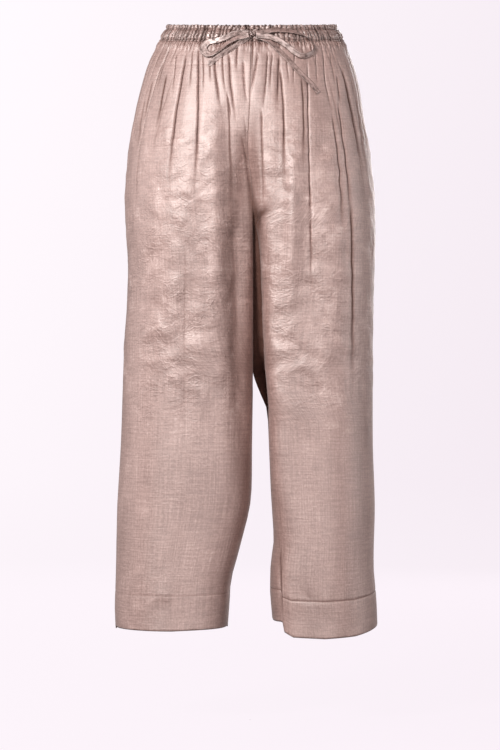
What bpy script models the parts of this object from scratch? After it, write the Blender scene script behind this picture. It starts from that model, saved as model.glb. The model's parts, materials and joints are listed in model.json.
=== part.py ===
# Pyjama trousers of slub silk, gathered on a drawstring waist, hanging as they are worn.
# +Z up, the front faces -Y and the wearer's right leg is at -X.
# The origin is the middle of the waistband, where the wearer holds the trousers up.
# Every size below is in millimetres, and MM turns it into Blender's metres.

from collections import namedtuple
from math import atan2, cos, exp, pi, sin

import bmesh
import bpy
from mathutils import Vector

MM = 0.001

# cloth
WALL = 1.8                 # thickness of the cloth's wall
HEM_DEPTH = 52.0           # cloth turned up inside each leg
HEM_WALL = 1.0             # what the turned-up layer adds inside
HALF_SEAM = 0.17           # each piece stands back this far from a seam

# waistband
BAND_TOP = 12.0
BAND_LOW = -12.0
BAND_INSIDE = 2.4          # the band's plain inside, in from its outline
TILT = 0.119               # the waist dips towards the front
TILT_END = -230.0          # below this height the rows are level
DIP_DEPTH = 5.5            # where the knot pulls the frill down
DIP_WIDTH = 15.0
GATHERS = 32               # gathers on each quarter of the waist
GATHER_RISE = 1.8          # height of a gather just below the band
GATHER_END = -62.0         # the small gathers have run out here

# legs
CROTCH = -505.0
HEM_START = -720.0         # below this the rows slope towards the hem line
HEM_LEVEL = -891.0         # the height that the last row of LEVELS stands for
OUTER_POWER = 2.1          # roundness of a leg's oval at its outer half
INNER_POWER = {-1: 2.7, 1: 2.2}          # at its inner half, in front and behind
LEG_SQUARE = 0.9           # the front of a leg is squarer than the hips by this much
SLOT_SQUARE = 4.0          # and the left one squarer still beside the deep fold and below it
SQUARE_FULL = 6.0          # a slot this wide has that squareness in full
SQUARE_BELOW = -430.0      # below this height the slot's width no longer counts
SQUARE_END = -800.0        # and the squareness fades out down to this one
SQUARE_FADE = 240.0        # over this height
SLOT_SHARE = 0.125         # the share of a panel's width that lies in that fold
LEG_DEPTH = {-1: -0.04, 1: 0.04}         # the narrower leg is the deeper one
RIGHT, LEFT = -1, 1
FRONT, BACK = -1, 1

# the outline: half widths at each side, how far a leg's oval runs past the seam between
# the legs as a share of its half width, in front and behind, and the depth at each
Level = namedtuple("Level", "z right left front_share back_share front back")
LEVELS = (
    Level(14, 124, 127, 1.0, 1.0, 93, 87),
    Level(-12, 134, 139, 1.0, 1.0, 98, 92),
    Level(-43, 150, 152, 0.96, 0.96, 109, 104),
    Level(-78, 161, 162, 0.85, 0.85, 118, 118),
    Level(-123, 172, 169, 0.66, 0.66, 125, 134),
    Level(-168, 180, 177, 0.46, 0.48, 129, 146),
    Level(-235, 186, 185, 0.22, 0.27, 130, 154),
    Level(-300, 185, 187, 0.06, 0.13, 127, 149),
    Level(-348, 182, 186, 0.03, 0.08, 123, 140),
    Level(-415, 184, 184, 0.012, 0.045, 117, 128),
    Level(-470, 188, 183, 0.004, 0.02, 113, 121),
    Level(-505, 189, 183, 0.0, 0.0, 110, 117),
    Level(-618, 193, 183, 0.0, 0.0, 104, 107),
    Level(-708, 198, 186, 0.0, 0.0, 100, 101),
    Level(-798, 200, 184, 0.0, 0.0, 97, 98),
    Level(-865, 202, 189, 0.0, 0.0, 95, 96),
    Level(-891, 201, 190, 0.0, 0.0, 95, 96),
)

# the line between the legs, and below the crotch the inner edge of each leg
Middle = namedtuple("Middle", "z x")
MIDDLE = (Middle(14, 2), Middle(-100, 0), Middle(-180, -3), Middle(-240, 3), Middle(-300, 4),
          Middle(-505, 4), Middle(-891, 4))
Inner = namedtuple("Inner", "z right left")
INNER = (Inner(-505, 4, 4), Inner(-520, 3.5, 8), Inner(-550, 3.4, 20), Inner(-565, 3.2, 26),
         Inner(-618, 2.5, 29), Inner(-690, 1.5, 32), Inner(-720, -3, 34), Inner(-768, -15, 36),
         Inner(-798, -23, 32), Inner(-820, -29, 31), Inner(-850, -31, 31), Inner(-891, -34, 34))

# the deep fold between the legs in front: how far the left leg stands off the right one
Slot = namedtuple("Slot", "z width")
SLOTS = (Slot(-246, 0), Slot(-278, 2), Slot(-300, 4.2), Slot(-330, 7.2), Slot(-400, 10.5),
         Slot(-459, 14), Slot(-505, 18), Slot(-520, 16), Slot(-550, 7.5), Slot(-565, 2.5),
         Slot(-600, 0), Slot(-891, 0))
SLOT_FULL = 10.0           # a slot this wide has the left leg's oval wholly beside it
FLOOR_FULL = 6.0           # a slot this wide has its own floor
FOLDS_FROM = 30.0          # a fold in front or behind is full where the cloth is this far out
WIDE_FOLD = 12.0           # a fold wider than this starts more gently

# the front hem of each leg: the angle round its oval from the side seam, in radians, and
# the height there
Edge = namedtuple("Edge", "angle z")
FRONT_HEMS = {
    RIGHT: (Edge(0, -886), Edge(0.4, -888.5), Edge(1.6, -889.5), Edge(2.3, -886.5),
            Edge(3.2, -884)),
    LEFT: (Edge(0, -884), Edge(0.5, -890), Edge(1.0, -897), Edge(1.6, -900), Edge(2.15, -898),
           Edge(2.31, -891), Edge(2.35, -876), Edge(3.2, -877)),
}
# the back hem: its height at the outer side, in the middle and at the inner side
BackHem = namedtuple("BackHem", "outer middle inner")
BACK_HEMS = {RIGHT: BackHem(-892, -893, -890), LEFT: BackHem(-886, -907, -877)}

# large folds: where each starts and ends, its half width, and its depth (a ridge is above 0)
Fold = namedtuple("Fold", "x_top z_top x_low z_low width depth")
FRONT_FOLDS = (
    Fold(-131, -50, -141, -170, 8, -4),
    Fold(-97, -36, -120, -260, 8, -6),
    Fold(-76, -28, -81, -270, 7, -7),
    Fold(-53, -110, -50, -470, 12, 3.5),
    Fold(-51, -34, -36, -140, 7, -4),
    Fold(-31, -34, -29, -160, 7, -5),
    Fold(-9, -70, -8, -660, 25, -16),
    Fold(-34, -90, -32, -560, 10, -4),
    Fold(-10, -230, -6, -600, 9, 3),
    Fold(-9, -40, -3, -125, 8, -5),
    Fold(-9, -140, 6, -330, 10.5, -8),
    Fold(26, -34, 20, -120, 7, -4),
    Fold(34, -36, 44, -150, 8, -4),
    Fold(45, -45, 42, -270, 7, -6),
    Fold(64, -140, 60, -450, 12, 8),
    Fold(83, -40, 88, -300, 9, -8),
    Fold(110, -45, 135, -330, 9, -6),
    Fold(131, -105, 150, -560, 9, -6),
    Fold(140, -50, 170, -250, 8, -4),
    Fold(-94, -330, -96, -680, 12, -2.5),
)
BACK_FOLDS = (
    Fold(-126, -46, -146, -230, 9, -5),
    Fold(-101, -34, -116, -330, 9, -7),
    Fold(-82, -50, -88, -160, 8, -4),
    Fold(-62, -36, -70, -290, 9, -7),
    Fold(-40, -34, -44, -190, 8, -5),
    Fold(-22, -40, -26, -300, 9, -6),
    Fold(22, -34, 30, -230, 9, -6),
    Fold(43, -40, 52, -320, 9, -7),
    Fold(66, -34, 72, -180, 8, -5),
    Fold(88, -38, 101, -300, 9, -7),
    Fold(112, -50, 128, -200, 8, -4),
    Fold(130, -60, 150, -340, 9, -6),
    Fold(-62, -420, -88, -760, 14, -6),
    Fold(92, -430, 110, -800, 14, -6),
)
# folds on the two sides are placed by their y
SIDE_FOLDS = (
    Fold(-62, -60, -74, -300, 9, -5),
    Fold(-26, -40, -34, -210, 9, -5),
    Fold(22, -46, 30, -260, 9, -5),
    Fold(60, -40, 84, -340, 9, -6),
)

# the band's rows: height, how far the cloth swells, and the rise of its gathers
Row = namedtuple("Row", "z swell rise")
BAND_ROWS = (Row(BAND_TOP, 1.0, 1.6), Row(5.5, -0.4, 0.9), Row(1.5, 0.9, 1.7),
             Row(-6.5, 0.9, 1.7), Row(BAND_LOW, -0.2, 1.5))

# the panels' rows, from the band to the hem, and the columns across each stretch of them
PANEL_ROWS = (-12.34, -28, -48, -78, -114, -152, -192, -234, -278, -322, -366, -412, -458, CROTCH,
              -545, -585, -630, -676, -720, -760, -800, HEM_LEVEL + HEM_DEPTH + 2,
              HEM_LEVEL + HEM_DEPTH, -866, HEM_LEVEL)
GATHER_ROWS = 2            # rows that carry the small gathers
FOLD_ROWS = 13             # rows that carry the large folds, down to the crotch
FOLD_COLUMNS = 32
LEG_COLUMNS = 16

# drawstring: a flat strip, whose points are x, z and the lift of its middle off the cloth
TIE_WIDTH = 8.5
TIE_THICK = 1.0
TIE_STEPS = 2              # sections between two of a route's points
KNOT_X, KNOT_Z, KNOT_LIFT = 3.7, -12.0, 5.9
KNOT_SIZE = (10.0, 6.4, 9.0)
KNOT_BEVEL = 2.0
ROUTES = {
    "bow_loop_right": (
        (-1.7, -11.9, 4.9), (-9.4, -11.5, 4.9), (-22.6, -12.0, 4.9), (-32.3, -16.4, 4.9),
        (-42.5, -20.2, 4.9), (-51.3, -22.5, 4.9), (-61.6, -23.8, 4.9), (-68.3, -31.8, 4.9),
        (-66.0, -39.1, 5.1), (-59.3, -42.6, 5.5), (-49.9, -39.2, 6.0), (-42.5, -34.1, 6.3),
        (-33.0, -26.2, 6.4), (-22.6, -20.4, 6.4), (-9.4, -16.4, 6.4), (-1.7, -14.2, 6.4)),
    "bow_loop_left": (
        (9.1, -11.9, 4.9), (23.5, -9.2, 4.9), (36.7, -6.4, 4.9), (55.7, -6.9, 4.9),
        (68.9, -9.3, 4.9), (80.7, -13.5, 4.9), (91.0, -22.3, 4.9), (95.4, -31.8, 5.0),
        (91.0, -39.8, 5.3), (82.2, -44.2, 5.7), (74.8, -44.2, 6.0), (66.0, -39.8, 6.2),
        (55.7, -31.5, 6.4), (42.5, -22.3, 6.4), (32.3, -17.9, 6.4), (20.5, -15.8, 6.4),
        (9.1, -14.2, 6.4)),
    "tie_end_right": (
        (-1.7, -16.0, 3.5), (-10.3, -23.0, 3.5), (-20.5, -30.4, 3.5), (-32.3, -37.7, 3.3),
        (-42.5, -44.3, 3.0), (-52.8, -52.4, 2.6), (-60.1, -59.7, 2.4)),
    "tie_end_left": (
        (9.1, -16.0, 3.5), (17.6, -18.4, 3.5), (26.4, -22.4, 3.5), (33.7, -28.9, 3.5),
        (42.5, -37.7, 3.3), (55.7, -50.9, 3.0), (68.9, -65.6, 2.6), (82.2, -78.8, 2.4),
        (92.4, -89.0, 2.4), (99.8, -99.3, 2.4)),
}

SILK = (0.50, 0.37, 0.34)
DARK_SILK = (0.40, 0.28, 0.25)


def clear_scene():
    for item in list(bpy.data.objects):
        bpy.data.objects.remove(item, do_unlink=True)


def ease(value):
    value = min(max(value, 0.0), 1.0)
    return value * value * (3 - 2 * value)


def read(table, column, z):
    # a smooth curve through one column of a table whose heights fall row by row
    heights = [row.z for row in table]
    values = [getattr(row, column) for row in table]
    if z >= heights[0]:
        return values[0]
    if z <= heights[-1]:
        return values[-1]
    index = next(i for i in range(len(heights) - 1) if z >= heights[i + 1])

    def slope(i):
        low, high = max(i - 1, 0), min(i + 1, len(values) - 1)
        return (values[high] - values[low]) / (heights[high] - heights[low])

    step = heights[index + 1] - heights[index]
    t = (z - heights[index]) / step
    return ((2 * t**3 - 3 * t**2 + 1) * values[index] + (t**3 - 2 * t**2 + t) * step * slope(index)
            + (3 * t**2 - 2 * t**3) * values[index + 1] + (t**3 - t**2) * step * slope(index + 1))


def front_hem(side, angle):
    # straight lines between the rows of a leg's front hem
    edges = FRONT_HEMS[side]
    for this, next_one in zip(edges, edges[1:]):
        if angle <= next_one.angle:
            share = max(angle - this.angle, 0) / (next_one.angle - this.angle)
            return this.z + (next_one.z - this.z) * share
    return edges[-1].z


def leg_oval(side, face, z):
    # the middle line, and the centre and half width of a leg's oval measured out from it
    middle = read(MIDDLE, "x", z)
    out = read(LEVELS, "right" if side == RIGHT else "left", z) - side * middle
    if z > CROTCH:
        past = out * read(LEVELS, "front_share" if face == FRONT else "back_share", z)
    else:
        past = side * (middle - read(INNER, "right" if side == RIGHT else "left", z))
    return middle, (out - past) / 2, (out + past) / 2


def leg_depth(side, face, z):
    depth = read(LEVELS, "front" if face == FRONT else "back", z)
    return depth * (1 + LEG_DEPTH[side] * ease((-350 - z) / 250))


def inner_power(face, z):
    return INNER_POWER[face] + (LEG_SQUARE * ease((-200 - z) / 100) if face == FRONT else 0.0)


def oval_end(centre, half, power):
    # where a leg's oval meets the seam, as shares of its half width and its depth
    across = max(-centre / half, -1.0)
    return across, (1 - abs(across) ** power) ** (1 / power)


def oval_point(side, face, oval, depth, power, angle):
    middle, centre, half = oval
    if angle < pi / 2:
        power = OUTER_POWER
    c, s = cos(angle), sin(angle)
    reach = (abs(c) ** power + abs(s) ** power) ** (-1 / power)
    wide, deep = reach * c, reach * s
    point = Vector((middle + side * (centre + half * wide), face * depth * deep))
    facing = Vector((side * (1 if wide > 0 else -1) * abs(wide) ** (power - 1) / half,
                     face * abs(deep) ** (power - 1) / depth))
    return point, facing.normalized()


def outline(side, face, along, z):
    # a point of the cloth before it folds, and the way it faces; along runs from the side
    # seam, 0, to the seam in the middle or the inseam, 1
    oval = leg_oval(side, face, z)
    middle, centre, half = oval
    depth = leg_depth(side, face, z)
    seam_power = power = inner_power(face, z)
    slot = 0.0
    if (side, face) == (LEFT, FRONT):
        slot = read(SLOTS, "width", z)
        full = slot / SQUARE_FULL if z > SQUARE_BELOW else (z - SQUARE_END) / SQUARE_FADE
        power += SLOT_SQUARE * ease(full)
    if slot <= 0:
        across, deep = oval_end(centre, half, power)
        angle = along * atan2(deep, across)
        return *oval_point(side, face, oval, depth, power, angle), angle
    # beside the deep fold the left leg's oval ends early, and its floor runs on to the seam,
    # with its wall in front of the back panel's end
    floor = ease(slot / FLOOR_FULL)
    across, deep = oval_end(centre, half, seam_power)
    deep = max(deep, WALL * floor / depth)
    seam = Vector((middle + side * (centre + half * across), face * depth * deep))
    past = half - centre
    past = (past * (1 - ease(slot / SLOT_FULL)) if past > 0 else past) - slot
    out = centre + half
    beside = (middle, (out - past) / 2, (out + past) / 2)
    turn = 1 - SLOT_SHARE * floor
    end = atan2(deep, -(1 - deep**power) ** (1 / power))
    angle = min(along / turn, 1) * end
    corner, facing = oval_point(side, face, beside, depth, power, angle)
    # where the fold is still narrow the oval stops at the middle
    corner.x = middle + side * max(side * (corner.x - middle), 0)
    if along <= turn:
        return corner, facing, angle
    share = (along - turn) / (1 - turn)
    facing = facing.lerp(Vector((0, face)), floor * ease(share * 3)).normalized()
    return corner.lerp(seam, share), facing, end


def fold_sum(folds, place, z):
    total = 0.0
    for fold in folds:
        if not fold.z_low < z < fold.z_top:
            continue
        down = (fold.z_top - z) / (fold.z_top - fold.z_low)
        centre = fold.x_top + (fold.x_low - fold.x_top) * down
        strength = ease(down * (3 if fold.width > WIDE_FOLD else 6)) * ease((1 - down) * 2.2)
        total += fold.depth * strength * exp(-((place - centre) / fold.width) ** 2)
    return total


def folded(side, face, along, z):
    # the point of outline() with the large folds pressed in, and the way it faces
    point, facing, angle = outline(side, face, along, z)
    front_back = FRONT_FOLDS if face == FRONT else BACK_FOLDS
    depth = fold_sum(front_back, point.x, z) * ease(abs(facing.y) * 1.6)
    depth *= ease(abs(point.y) / FOLDS_FROM)
    depth += fold_sum(SIDE_FOLDS, point.y, z) * ease((abs(facing.x) - 0.5) * 3)
    edge = ease((1 - along) * 8)
    return point + Vector((facing.x * edge, facing.y)) * depth, facing, angle


def drop(side, face, angle, y, z):
    # the waist tilts down to the front, and the lowest rows slope to the hem line
    if z > HEM_START:
        return z + TILT * y * ease((z - TILT_END) / -TILT_END)
    if face == FRONT:
        end = front_hem(side, angle)
    else:
        hem = BACK_HEMS[side]
        end = (hem.outer * max(cos(angle), 0) ** 2 + hem.middle * sin(angle) ** 2
               + hem.inner * max(-cos(angle), 0) ** 2)
    return HEM_START + (z - HEM_START) * (end - HEM_START) / (HEM_LEVEL - HEM_START)


def cloth_point(side, face, along, z, out):
    point, facing, angle = folded(side, face, along, z)
    y = point.y
    point = point + facing * out + Vector((side, face)) * HALF_SEAM
    return Vector((point.x, point.y, drop(side, face, angle, y, z)))


def make_material(name, colour, roughness, metallic):
    material = bpy.data.materials.new(name)
    material.use_nodes = True
    shader = material.node_tree.nodes["Principled BSDF"]
    shader.inputs["Base Color"].default_value = (*colour, 1)
    shader.inputs["Roughness"].default_value = roughness
    shader.inputs["Metallic"].default_value = metallic
    return material


def make_object(name, bm, colour):
    bmesh.ops.triangulate(bm, faces=bm.faces[:])
    bmesh.ops.recalc_face_normals(bm, faces=bm.faces[:])
    mesh = bpy.data.meshes.new(name)
    bm.to_mesh(mesh)
    bm.free()
    mesh.shade_smooth()
    item = bpy.data.objects.new(name, mesh)
    bpy.context.scene.collection.objects.link(item)
    mesh.materials.append(make_material(name + "_cloth", colour, 0.42, 0.25))
    return item


def lace(bm, one, other):
    # faces between two rows of vertices, which may differ in number
    i = j = 0
    while i < len(one) - 1 or j < len(other) - 1:
        next_one = (i + 1) / (len(one) - 1)
        next_other = (j + 1) / (len(other) - 1)
        if i < len(one) - 1 and j < len(other) - 1 and abs(next_one - next_other) < 1e-9:
            bm.faces.new((one[i], one[i + 1], other[j + 1], other[j]))
            i, j = i + 1, j + 1
        elif j == len(other) - 1 or (i < len(one) - 1 and next_one < next_other):
            bm.faces.new((one[i], one[i + 1], other[j]))
            i += 1
        else:
            bm.faces.new((one[i], other[j + 1], other[j]))
            j += 1


def panel_columns(row, outside):
    if row < GATHER_ROWS and outside:
        return GATHERS * 2
    return FOLD_COLUMNS if row < FOLD_ROWS else LEG_COLUMNS


def make_panel(name, side, face):
    bm = bmesh.new()
    layers = []
    for outside in (True, False):
        rows = []
        for row, z in enumerate(PANEL_ROWS):
            count = panel_columns(row, outside)
            line = []
            for column in range(count + 1):
                out = 0.0 if outside else -WALL
                if not outside and z <= HEM_LEVEL + HEM_DEPTH:
                    out -= HEM_WALL
                if outside and count > FOLD_COLUMNS and column % 2:
                    out += GATHER_RISE * ease((z - GATHER_END) / (BAND_LOW - GATHER_END))
                line.append(bm.verts.new(cloth_point(side, face, column / count, z, out) * MM))
            rows.append(line)
        for upper, lower in zip(rows, rows[1:]):
            lace(bm, upper, lower)
        layers.append(rows)
    outer, inner = layers
    lace(bm, outer[0], inner[0])
    lace(bm, outer[-1], inner[-1])
    for end in (0, -1):
        lace(bm, [line[end] for line in outer], [line[end] for line in inner])
    return make_object(name, bm, SILK)


def band_point(quarter, column, row, out):
    side, face = quarter
    along = column / (GATHERS * 2)
    point, facing, angle = outline(side, face, along, row.z)
    height = drop(side, face, angle, point.y, row.z)
    if face == FRONT:
        share = (row.z - BAND_LOW) / (BAND_TOP - BAND_LOW)
        height -= DIP_DEPTH * share * exp(-((point.x - KNOT_X) / DIP_WIDTH) ** 2)
    point = point + facing * out
    return Vector((point.x, point.y, height)) * MM


def band_ring(bm, row, outside):
    # four quarters: front right, front left, back left, back right
    columns = GATHERS * 2
    ring = []
    for side, face, forward in ((RIGHT, FRONT, True), (LEFT, FRONT, False),
                                (LEFT, BACK, True), (RIGHT, BACK, False)):
        for step in range(columns):
            column = step if forward else columns - step
            out = -BAND_INSIDE
            if outside:
                out = row.swell + (row.rise if column % 2 else 0.0)
            ring.append(bm.verts.new(band_point((side, face), column, row, out)))
    return ring


def make_waistband():
    bm = bmesh.new()
    rings = [band_ring(bm, row, True) for row in BAND_ROWS]
    rings += [band_ring(bm, row, False) for row in (BAND_ROWS[-1], BAND_ROWS[0])]
    for upper, lower in zip(rings, rings[1:] + rings[:1]):
        for i in range(len(upper)):
            after = (i + 1) % len(upper)
            bm.faces.new((upper[i], upper[after], lower[after], lower[i]))
    return make_object("waistband", bm, DARK_SILK)


def front_y(x, z):
    # the y of the cloth's outline in front, at an x and a level height; a few steps are
    # enough, because the rows tilt only a little
    side = RIGHT if x < read(MIDDLE, "x", z) else LEFT
    level = z
    y = 0.0
    for _ in range(6):
        middle, centre, half = leg_oval(side, FRONT, level)
        wide = min(max((side * (x - middle) - centre) / half, -1.0), 1.0)
        power = OUTER_POWER if wide > 0 else inner_power(FRONT, level)
        y = -leg_depth(side, FRONT, level) * (1 - abs(wide) ** power) ** (1 / power)
        level = z - TILT * y * ease((level - TILT_END) / -TILT_END)
    return y


def front_facing(x, z):
    step = 2.0
    slope_x = (front_y(x + step, z) - front_y(x - step, z)) / (2 * step)
    slope_z = (front_y(x, z + step) - front_y(x, z - step)) / (2 * step)
    return Vector((slope_x, -1, slope_z)).normalized()


def smooth_route(route):
    # a Catmull-Rom curve through the route's points
    points = [Vector((x, front_y(x, z) - lift, z)) for x, z, lift in route]
    ends = [points[0] * 2 - points[1]] + points + [points[-1] * 2 - points[-2]]
    curve = []
    for a, b, c, d in zip(ends, ends[1:], ends[2:], ends[3:]):
        for step in range(TIE_STEPS):
            t = step / TIE_STEPS
            curve.append(0.5 * (2 * b + (c - a) * t + (2 * a - 5 * b + 4 * c - d) * t**2
                                + (3 * b - a - 3 * c + d) * t**3))
    return curve + [points[-1]]


def make_tie(name, route):
    curve = smooth_route(route)
    bm = bmesh.new()
    rings = []
    for i, point in enumerate(curve):
        along = (curve[min(i + 1, len(curve) - 1)] - curve[max(i - 1, 0)]).normalized()
        across = along.cross(front_facing(point.x, point.z)).normalized()
        out = across.cross(along).normalized()
        corners = ((-0.5, -0.5), (0.5, -0.5), (0.5, 0.5), (-0.5, 0.5))
        rings.append([bm.verts.new((point + across * w * TIE_WIDTH + out * h * TIE_THICK) * MM)
                      for w, h in corners])
    for upper, lower in zip(rings, rings[1:]):
        for i in range(4):
            bm.faces.new((upper[i], upper[(i + 1) % 4], lower[(i + 1) % 4], lower[i]))
    bm.faces.new(rings[0])
    bm.faces.new(rings[-1])
    return make_object(name, bm, SILK)


def make_knot():
    bm = bmesh.new()
    bmesh.ops.create_cube(bm, size=1.0)
    place = Vector((KNOT_X, front_y(KNOT_X, KNOT_Z) - KNOT_LIFT, KNOT_Z))
    for vert in bm.verts:
        vert.co = (Vector(a * b for a, b in zip(vert.co, KNOT_SIZE)) + place) * MM
    bmesh.ops.bevel(bm, geom=bm.edges[:], offset=KNOT_BEVEL * MM, segments=3, profile=0.5,
                    affect="EDGES")
    return make_object("drawstring_knot", bm, DARK_SILK)


def main():
    clear_scene()
    make_waistband()
    for side, side_name in ((RIGHT, "right"), (LEFT, "left")):
        for face, face_name in ((FRONT, "front"), (BACK, "back")):
            make_panel(face_name + "_" + side_name, side, face)
    for name, route in ROUTES.items():
        make_tie(name, route)
    make_knot()


main()
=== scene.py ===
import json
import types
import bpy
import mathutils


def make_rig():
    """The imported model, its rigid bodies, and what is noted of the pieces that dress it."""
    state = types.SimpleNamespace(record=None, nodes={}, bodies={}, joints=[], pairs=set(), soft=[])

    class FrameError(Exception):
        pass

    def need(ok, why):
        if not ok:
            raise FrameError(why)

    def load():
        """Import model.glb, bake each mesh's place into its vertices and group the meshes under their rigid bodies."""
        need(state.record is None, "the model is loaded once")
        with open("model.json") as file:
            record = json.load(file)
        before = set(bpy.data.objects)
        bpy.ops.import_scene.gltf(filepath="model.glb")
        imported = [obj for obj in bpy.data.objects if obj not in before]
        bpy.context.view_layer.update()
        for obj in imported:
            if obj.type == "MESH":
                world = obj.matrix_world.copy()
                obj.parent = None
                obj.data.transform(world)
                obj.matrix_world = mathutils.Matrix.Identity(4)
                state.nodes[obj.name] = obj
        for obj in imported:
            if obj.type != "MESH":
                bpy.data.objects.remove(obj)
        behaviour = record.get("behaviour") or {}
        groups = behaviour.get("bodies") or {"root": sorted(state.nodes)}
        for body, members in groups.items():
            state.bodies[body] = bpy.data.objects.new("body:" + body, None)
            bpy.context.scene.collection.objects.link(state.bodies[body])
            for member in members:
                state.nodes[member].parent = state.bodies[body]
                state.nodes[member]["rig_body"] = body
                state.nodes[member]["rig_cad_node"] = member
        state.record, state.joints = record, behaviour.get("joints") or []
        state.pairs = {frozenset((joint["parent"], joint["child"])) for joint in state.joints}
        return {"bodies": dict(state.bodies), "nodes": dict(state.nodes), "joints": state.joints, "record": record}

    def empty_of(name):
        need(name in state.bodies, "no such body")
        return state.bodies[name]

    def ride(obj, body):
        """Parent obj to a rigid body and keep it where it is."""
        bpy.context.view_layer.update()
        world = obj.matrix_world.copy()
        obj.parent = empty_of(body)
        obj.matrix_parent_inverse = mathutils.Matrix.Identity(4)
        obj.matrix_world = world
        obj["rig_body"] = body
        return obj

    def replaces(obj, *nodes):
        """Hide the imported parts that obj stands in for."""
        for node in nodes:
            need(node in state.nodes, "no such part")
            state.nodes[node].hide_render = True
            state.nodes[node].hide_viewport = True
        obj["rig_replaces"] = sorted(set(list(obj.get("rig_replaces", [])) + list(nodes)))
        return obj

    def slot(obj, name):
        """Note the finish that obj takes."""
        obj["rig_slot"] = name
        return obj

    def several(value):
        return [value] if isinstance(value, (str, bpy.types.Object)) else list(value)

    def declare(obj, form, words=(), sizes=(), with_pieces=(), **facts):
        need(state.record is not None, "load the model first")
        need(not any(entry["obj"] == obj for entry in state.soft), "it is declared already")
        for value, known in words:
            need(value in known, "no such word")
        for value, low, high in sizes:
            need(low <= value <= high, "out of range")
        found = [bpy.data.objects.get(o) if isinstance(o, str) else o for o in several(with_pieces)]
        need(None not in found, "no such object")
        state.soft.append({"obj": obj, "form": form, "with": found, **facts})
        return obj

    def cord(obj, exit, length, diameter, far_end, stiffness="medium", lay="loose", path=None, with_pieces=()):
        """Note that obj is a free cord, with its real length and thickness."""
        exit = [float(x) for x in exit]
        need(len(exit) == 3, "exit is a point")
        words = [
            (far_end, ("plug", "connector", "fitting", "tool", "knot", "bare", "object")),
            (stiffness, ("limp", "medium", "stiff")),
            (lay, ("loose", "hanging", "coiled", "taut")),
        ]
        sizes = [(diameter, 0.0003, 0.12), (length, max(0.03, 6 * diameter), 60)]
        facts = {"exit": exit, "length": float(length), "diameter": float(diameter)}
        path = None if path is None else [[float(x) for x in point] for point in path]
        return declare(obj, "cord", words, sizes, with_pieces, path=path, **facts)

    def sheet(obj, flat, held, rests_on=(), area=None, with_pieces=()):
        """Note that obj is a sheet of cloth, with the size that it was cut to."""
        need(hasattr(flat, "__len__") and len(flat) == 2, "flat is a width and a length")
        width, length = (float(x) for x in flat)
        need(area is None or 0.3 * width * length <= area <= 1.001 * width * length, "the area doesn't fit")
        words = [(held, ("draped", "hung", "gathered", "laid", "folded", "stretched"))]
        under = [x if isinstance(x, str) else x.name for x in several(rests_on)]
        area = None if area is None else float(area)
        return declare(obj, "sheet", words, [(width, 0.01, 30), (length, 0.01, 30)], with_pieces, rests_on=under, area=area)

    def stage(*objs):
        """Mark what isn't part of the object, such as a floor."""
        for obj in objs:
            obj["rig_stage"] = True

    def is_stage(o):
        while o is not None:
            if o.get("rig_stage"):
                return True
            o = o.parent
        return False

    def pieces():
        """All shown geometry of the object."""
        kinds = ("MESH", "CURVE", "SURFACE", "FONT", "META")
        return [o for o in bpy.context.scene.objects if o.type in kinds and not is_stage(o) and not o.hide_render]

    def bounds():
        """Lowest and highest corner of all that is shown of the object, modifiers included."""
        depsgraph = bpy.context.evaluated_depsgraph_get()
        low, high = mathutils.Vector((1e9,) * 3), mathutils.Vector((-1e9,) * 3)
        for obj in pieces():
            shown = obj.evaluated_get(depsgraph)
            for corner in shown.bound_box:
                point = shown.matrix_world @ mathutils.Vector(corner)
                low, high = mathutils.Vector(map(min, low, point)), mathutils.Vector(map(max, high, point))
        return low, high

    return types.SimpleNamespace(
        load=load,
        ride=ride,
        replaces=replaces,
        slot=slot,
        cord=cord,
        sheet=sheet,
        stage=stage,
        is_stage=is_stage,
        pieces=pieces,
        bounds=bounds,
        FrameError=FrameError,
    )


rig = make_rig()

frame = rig.load()
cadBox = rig.bounds()

import json
import math
from functools import partial

import bpy
import numpy as np
from mathutils import Vector

# Pyjama trousers of slub silk on a drawstring waist, hanging as they are worn.
# Sizes are in millimetres until mm turns them into metres; the front faces -Y.
mm = 0.001
right, left = -1, 1       # the wearer's right leg is at -X
front, back = -1, 1


def addObject(name, data):
    added = bpy.data.objects.new(name, data)
    bpy.context.scene.collection.objects.link(added)
    return added


# camera: level, in front, with the long lens that keeps the legs upright
cameraSetup = {"distance": 4500, "height": -513, "frameTall": 1125, "sensor": 36, "reach": 30000}


def makeCamera(setup):
    data = bpy.data.cameras.new("camera")
    data.sensor_width = setup["sensor"]
    data.lens = setup["sensor"] * setup["distance"] / setup["frameTall"]
    data.clip_end = setup["reach"] * mm
    camera = addObject("camera", data)
    camera.location = Vector((0, -setup["distance"], setup["height"])) * mm
    camera.rotation_euler = (math.radians(90), 0, 0)
    bpy.context.scene.camera = camera


makeCamera(cameraSetup)
bpy.context.scene.view_settings.view_transform = "Standard"
print("camera ready")

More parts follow.
